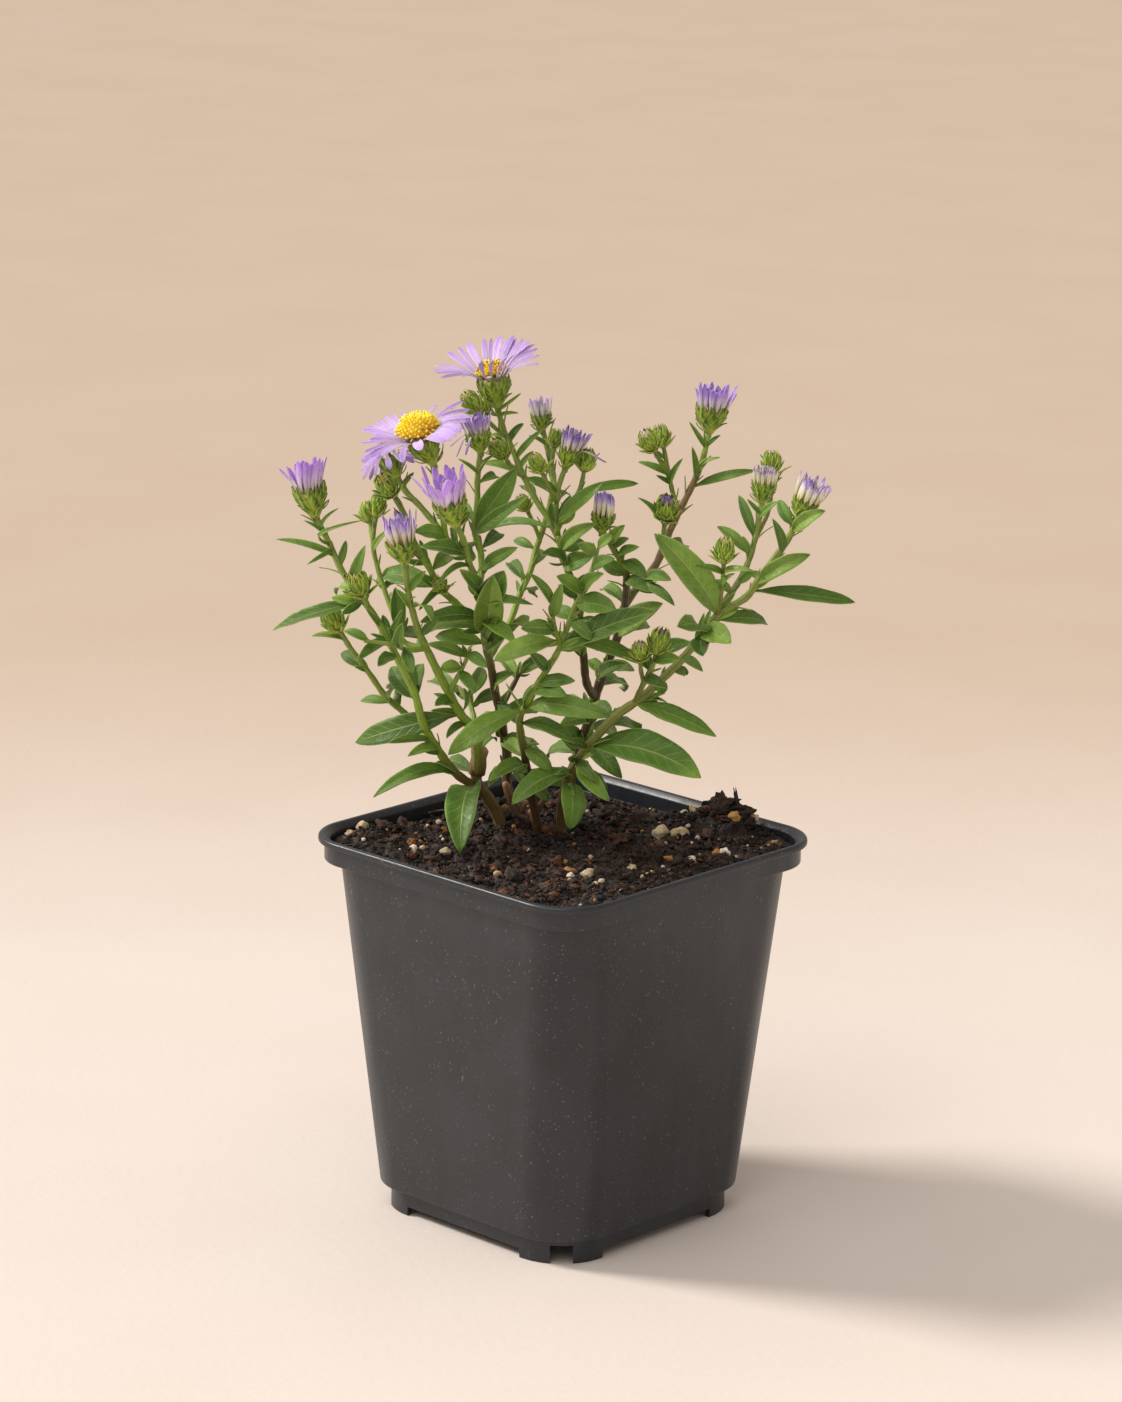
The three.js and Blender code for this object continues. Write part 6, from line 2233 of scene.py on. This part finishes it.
    def disc(self) -> None:
        """Dome of florets, open at its edge and still closed in the middle."""
        piece = Piece(f"disc_florets_{self.name}", "disc", [self.finishes.floret])
        radius = self.head.disc
        foot = self.rim + self.up * (self.gap * 2 + self.plate)
        dome = Gradient("0 dca818, 1 f2cc24")
        high = self.head.dome
        axes = Axes(self.up.lerp(UP, self.head.level))
        piece.add(Tube([foot + axes.up * radius * up * high for up, _ in self.core],
                       [radius * out for _, out in self.core], dome, 0.1, 16).shape())
        shares = (5, 2, 1, 5) if self.name == "top_left" else (10, 4, 0.6, 0.1)
        if self.head.opening is Opening.FADED:
            shares = (0, 0, 1, 6)
        # Fresh, mature, turning and spent
        colours = [Gradient(stops) for stops in (
            "0 f8dc1e, 0.6 ffec1e, 1 fff868", "0 f0cc1a, 0.6 fce01c, 1 ffee48",
            "0 d0921c, 0.6 ecae26, 1 f0c044", "0 7d4a3a, 0.6 945f56, 1 a87c80")]
        for number in range(self.florets):
            share = sqrt((number + 0.5) / self.florets)
            tilt = share * 1.15
            flat = axes.way(number * GOLDEN_TURN)
            way = (flat * sin(tilt) + axes.up * cos(tilt)).normalized()
            height = radius * high * (1 - share ** 2.4)
            size = radius * self.draw.uniform(0.07, 0.092)
            kind = self.draw.choices((0, 1, 2, 3), shares)[0]
            # Every other floret at the edge on the side away from the light is drawn orange or
            # brown: painted shade
            if share > 0.74 and flat.dot(ACROSS) + flat.dot(TOWARD) > 1.05 and number % 2:
                kind = 3 if number % 4 == 1 else 2
            place = foot + flat * share * radius * 0.86 + axes.up * height
            piece.add(self.floret(place, way, size, share > 0.45, colours[kind]))
        piece.finish(replaces=[f"disc_{self.name}"])

    def build(self, cups: Piece, bracts: Piece) -> None:
        """Adds the cup to its stem's cups and bracts, then makes rays and disc.

        Args:
            cups: closed bodies.
            bracts: sheets.
        """
        self.cup(cups, bracts)
        self.rays()
        if self.head.disc:
            self.disc()


@dataclass
class ClosedBud:
    """A closed bud: a small globe of pointed bracts with a tuft of folded rays on top."""

    place: Vector
    axis: Vector
    radius: float
    tuft: str
    draw: Random
    tuft_rays: int = 16
    # Rows of bracts: start and end over the middle in radii, number, bend outward
    scales: tuple[tuple[float, float, int, float], ...] = (
        (-1.1, -0.1, 7, 0.55), (-0.8, 0.4, 8, 0.32), (-0.4, 0.95, 9, 0.16), (-0.1, 1.35, 9, 0.04))

    def build(self, cups: Piece, bracts: Piece) -> None:
        """Adds core, bracts and tuft.

        Args:
            cups: closed bodies, stem skin first and ray petal second.
            bracts: sheets.
        """
        axes = Axes(self.axis)
        up, radius, draw = axes.up, self.radius, self.draw
        steps = 7
        shares = [number / steps for number in range(steps + 1)]
        places = [self.place + up * radius * (-1.2 + 2.2 * share) for share in shares]
        radii = [radius * 0.82 * max(0.25, sin((0.12 + 0.8 * share) * pi)) ** 0.7
                 for share in shares]
        core = Gradient("0 7b8e36, 1 a3ab52")
        cups.add(Tube(places, radii, core, 0.4, 12).shape(), 0)
        for row, (low, high, number, out) in enumerate(self.scales):
            for turn in staggered(number, row, 0.15, draw):
                spread = out * draw.uniform(0.3, 1.35)
                points = [
                    self.place + up * radius * height + axes.way(turn) * radius * width
                    for height, width in (
                        (low, 0.45), (low * 0.6 + high * 0.4, 1.14),
                        (low * 0.2 + high * 0.8, 0.96 + spread * 0.6),
                        (high * 1.12 + 0.08, 0.7 - 0.2 * high + spread * 1.9))
                ]
                tone = draw.choice(("9ab830", "b0c83e", "84a02a"))
                colours = Gradient(f"0 a9b355, 0.5 {tone}, 0.85 {tone}, 1 c3c169")
                bracts.add(Blade(bezier(points, 6), axes.way(turn), radius * 0.72, Outline.BRACT,
                                 colours, draw.random(), fold=-0.4, cells=2,
                                 shade=draw.uniform(0.82, 1.12)).shape())
        folded = Gradient(self.tuft)
        for index in range(self.tuft_rays):
            way = axes.way(index * LOOSE_TURN)
            out = radius * 0.5 * sqrt(index / self.tuft_rays)
            foot = self.place + up * radius * 0.75 + way * out
            tip = foot + up * radius * draw.uniform(0.42, 0.7) + way * out * 0.25
            widths = [radius * 0.12, radius * 0.15, radius * 0.04]
            cups.add(Tube([foot, foot.lerp(tip, 0.6), tip], widths, folded, draw.random(),
                          5).shape(), 1)


@dataclass
class AsterPlant:
    """The whole plant: five leafy stems, their cups and buds, and thirteen flower heads."""

    def build(self) -> None:
        """Builds the leafy stems one by one, each with the heads that it carries."""
        finishes = Finishes()
        for number, (name, plant) in enumerate(PLANTS.items()):
            stem = LeafyStem(name, plant, finishes, Random(100 + number))
            cups = Piece(f"cups_{name}", "foliage", [finishes.stem, finishes.ray])
            bracts = Piece(f"bracts_{name}", "foliage", [finishes.bract, finishes.under])
            stem.build(bracts)
            ends = [shoot.route[-1] for shoot in plant.shoots]
            for order, (head_name, head) in enumerate(HEADS.items()):
                if any(dist(end, head.base) < 0.1 for end in ends):
                    draw = Random(200 + order)
                    FlowerHead(head_name, head, finishes, draw).build(cups, bracts)
            for order, (shoot, line) in enumerate(zip(plant.shoots, stem.lines)):
                if shoot.bud:
                    ClosedBud(line[-1], line[-1] - line[-3], shoot.bud, shoot.tuft,
                              Random(300 + order)).build(cups, bracts)
            # The centre stem carries neither head nor bud, so it has no cups
            if cups.gathered.faces:
                cups.finish(replaces=[f"leafy_stem_{name}"])
            bracts.finish(replaces=[f"leafy_stem_{name}"], thickness=0.24, under=1)


@dataclass
class Studio:
    """Floor, lights and the camera at the photograph's angle."""

    target: Vector = field(default_factory=lambda: Vector((0.0, 0.0, 153.96)))
    aim_left: float = 1.19
    roll: float = 0.8515
    lens: float = 128.4
    floor_half: float = 6000.0
    light_distance: float = 2.4

    def floor(self) -> None:
        """Plain pale floor, far enough to fill the view."""
        shape = bmesh.new()
        bmesh.ops.create_grid(shape, x_segments=2, y_segments=2, size=self.floor_half * MM)
        mesh = settled("floor", shape)
        mesh.materials.append(PalePlaster().material())
        placed("floor", mesh)

    def light(self, kind: str, turn: float, rise: float, power: float, tone: str,
              **spread: float) -> None:
        """Hangs a light so that it looks at the plant.

        Args:
            kind: AREA for a soft square lamp, SUN for light that falls evenly on everything.
            turn: degrees to the right of the camera, seen from above.
            rise: degrees above the horizon.
            power: watts, or watts for each square metre.
            tone: colour as sRGB hex.
            spread: side of the lamp in metres as size, or width of the sun as angle.
        """
        data = bpy.data.lights.new("light", kind)
        data.energy = power
        data.color = linear(tone)[:3]
        for key, value in spread.items():
            setattr(data, key, value)
        lamp = placed("light", data)
        angle, lift = radians(turn), radians(rise)
        flat = TOWARD * cos(angle) + ACROSS * sin(angle)
        way = flat * cos(lift) + UP * sin(lift)
        lamp.location = self.target * MM + way * self.light_distance
        lamp.rotation_mode = "QUATERNION"
        lamp.rotation_quaternion = way.to_track_quat("Z", "Y")

    def lights(self) -> None:
        """Warm key from the left, soft fill from the front, pale surroundings."""
        self.light("SUN", -103, 38, 2.9, "fffbf6", angle=radians(15))
        self.light("AREA", -30, 50, 18, "fcfcff", size=1.8)
        world = bpy.data.worlds.new("pale_room")
        world.use_nodes = True
        backdrop = world.node_tree.nodes["Background"]
        backdrop.inputs["Color"].default_value = linear("fff3ea")
        backdrop.inputs["Strength"].default_value = 0.57
        bpy.context.scene.world = world
        bpy.context.scene.view_settings.view_transform = "Standard"

    def camera(self) -> None:
        """Camera at the measured eye point, lens and roll."""
        data = bpy.data.cameras.new("camera")
        data.sensor_width = 36.0
        data.lens = self.lens
        camera = placed("camera", data)
        aim = self.target - ACROSS * self.aim_left
        way = (aim - EYE).to_track_quat("-Z", "Y")
        camera.location = EYE * MM
        camera.rotation_mode = "QUATERNION"
        camera.rotation_quaternion = way @ Matrix.Rotation(
            radians(self.roll), 3, "Z").to_quaternion()
        data.clip_start, data.clip_end = 0.1, 30.0
        bpy.context.scene.camera = camera

    def build(self) -> None:
        """Sets up the studio."""
        self.floor()
        self.lights()
        self.camera()


def main() -> None:
    """Builds the studio, the pot, the soil and the plant."""
    logging.basicConfig(level=logging.INFO, format="%(message)s")
    Studio().build()
    NurseryPot().build()
    PottingSoil().build()
    AsterPlant().build()


if __name__ == "__main__":
    main()
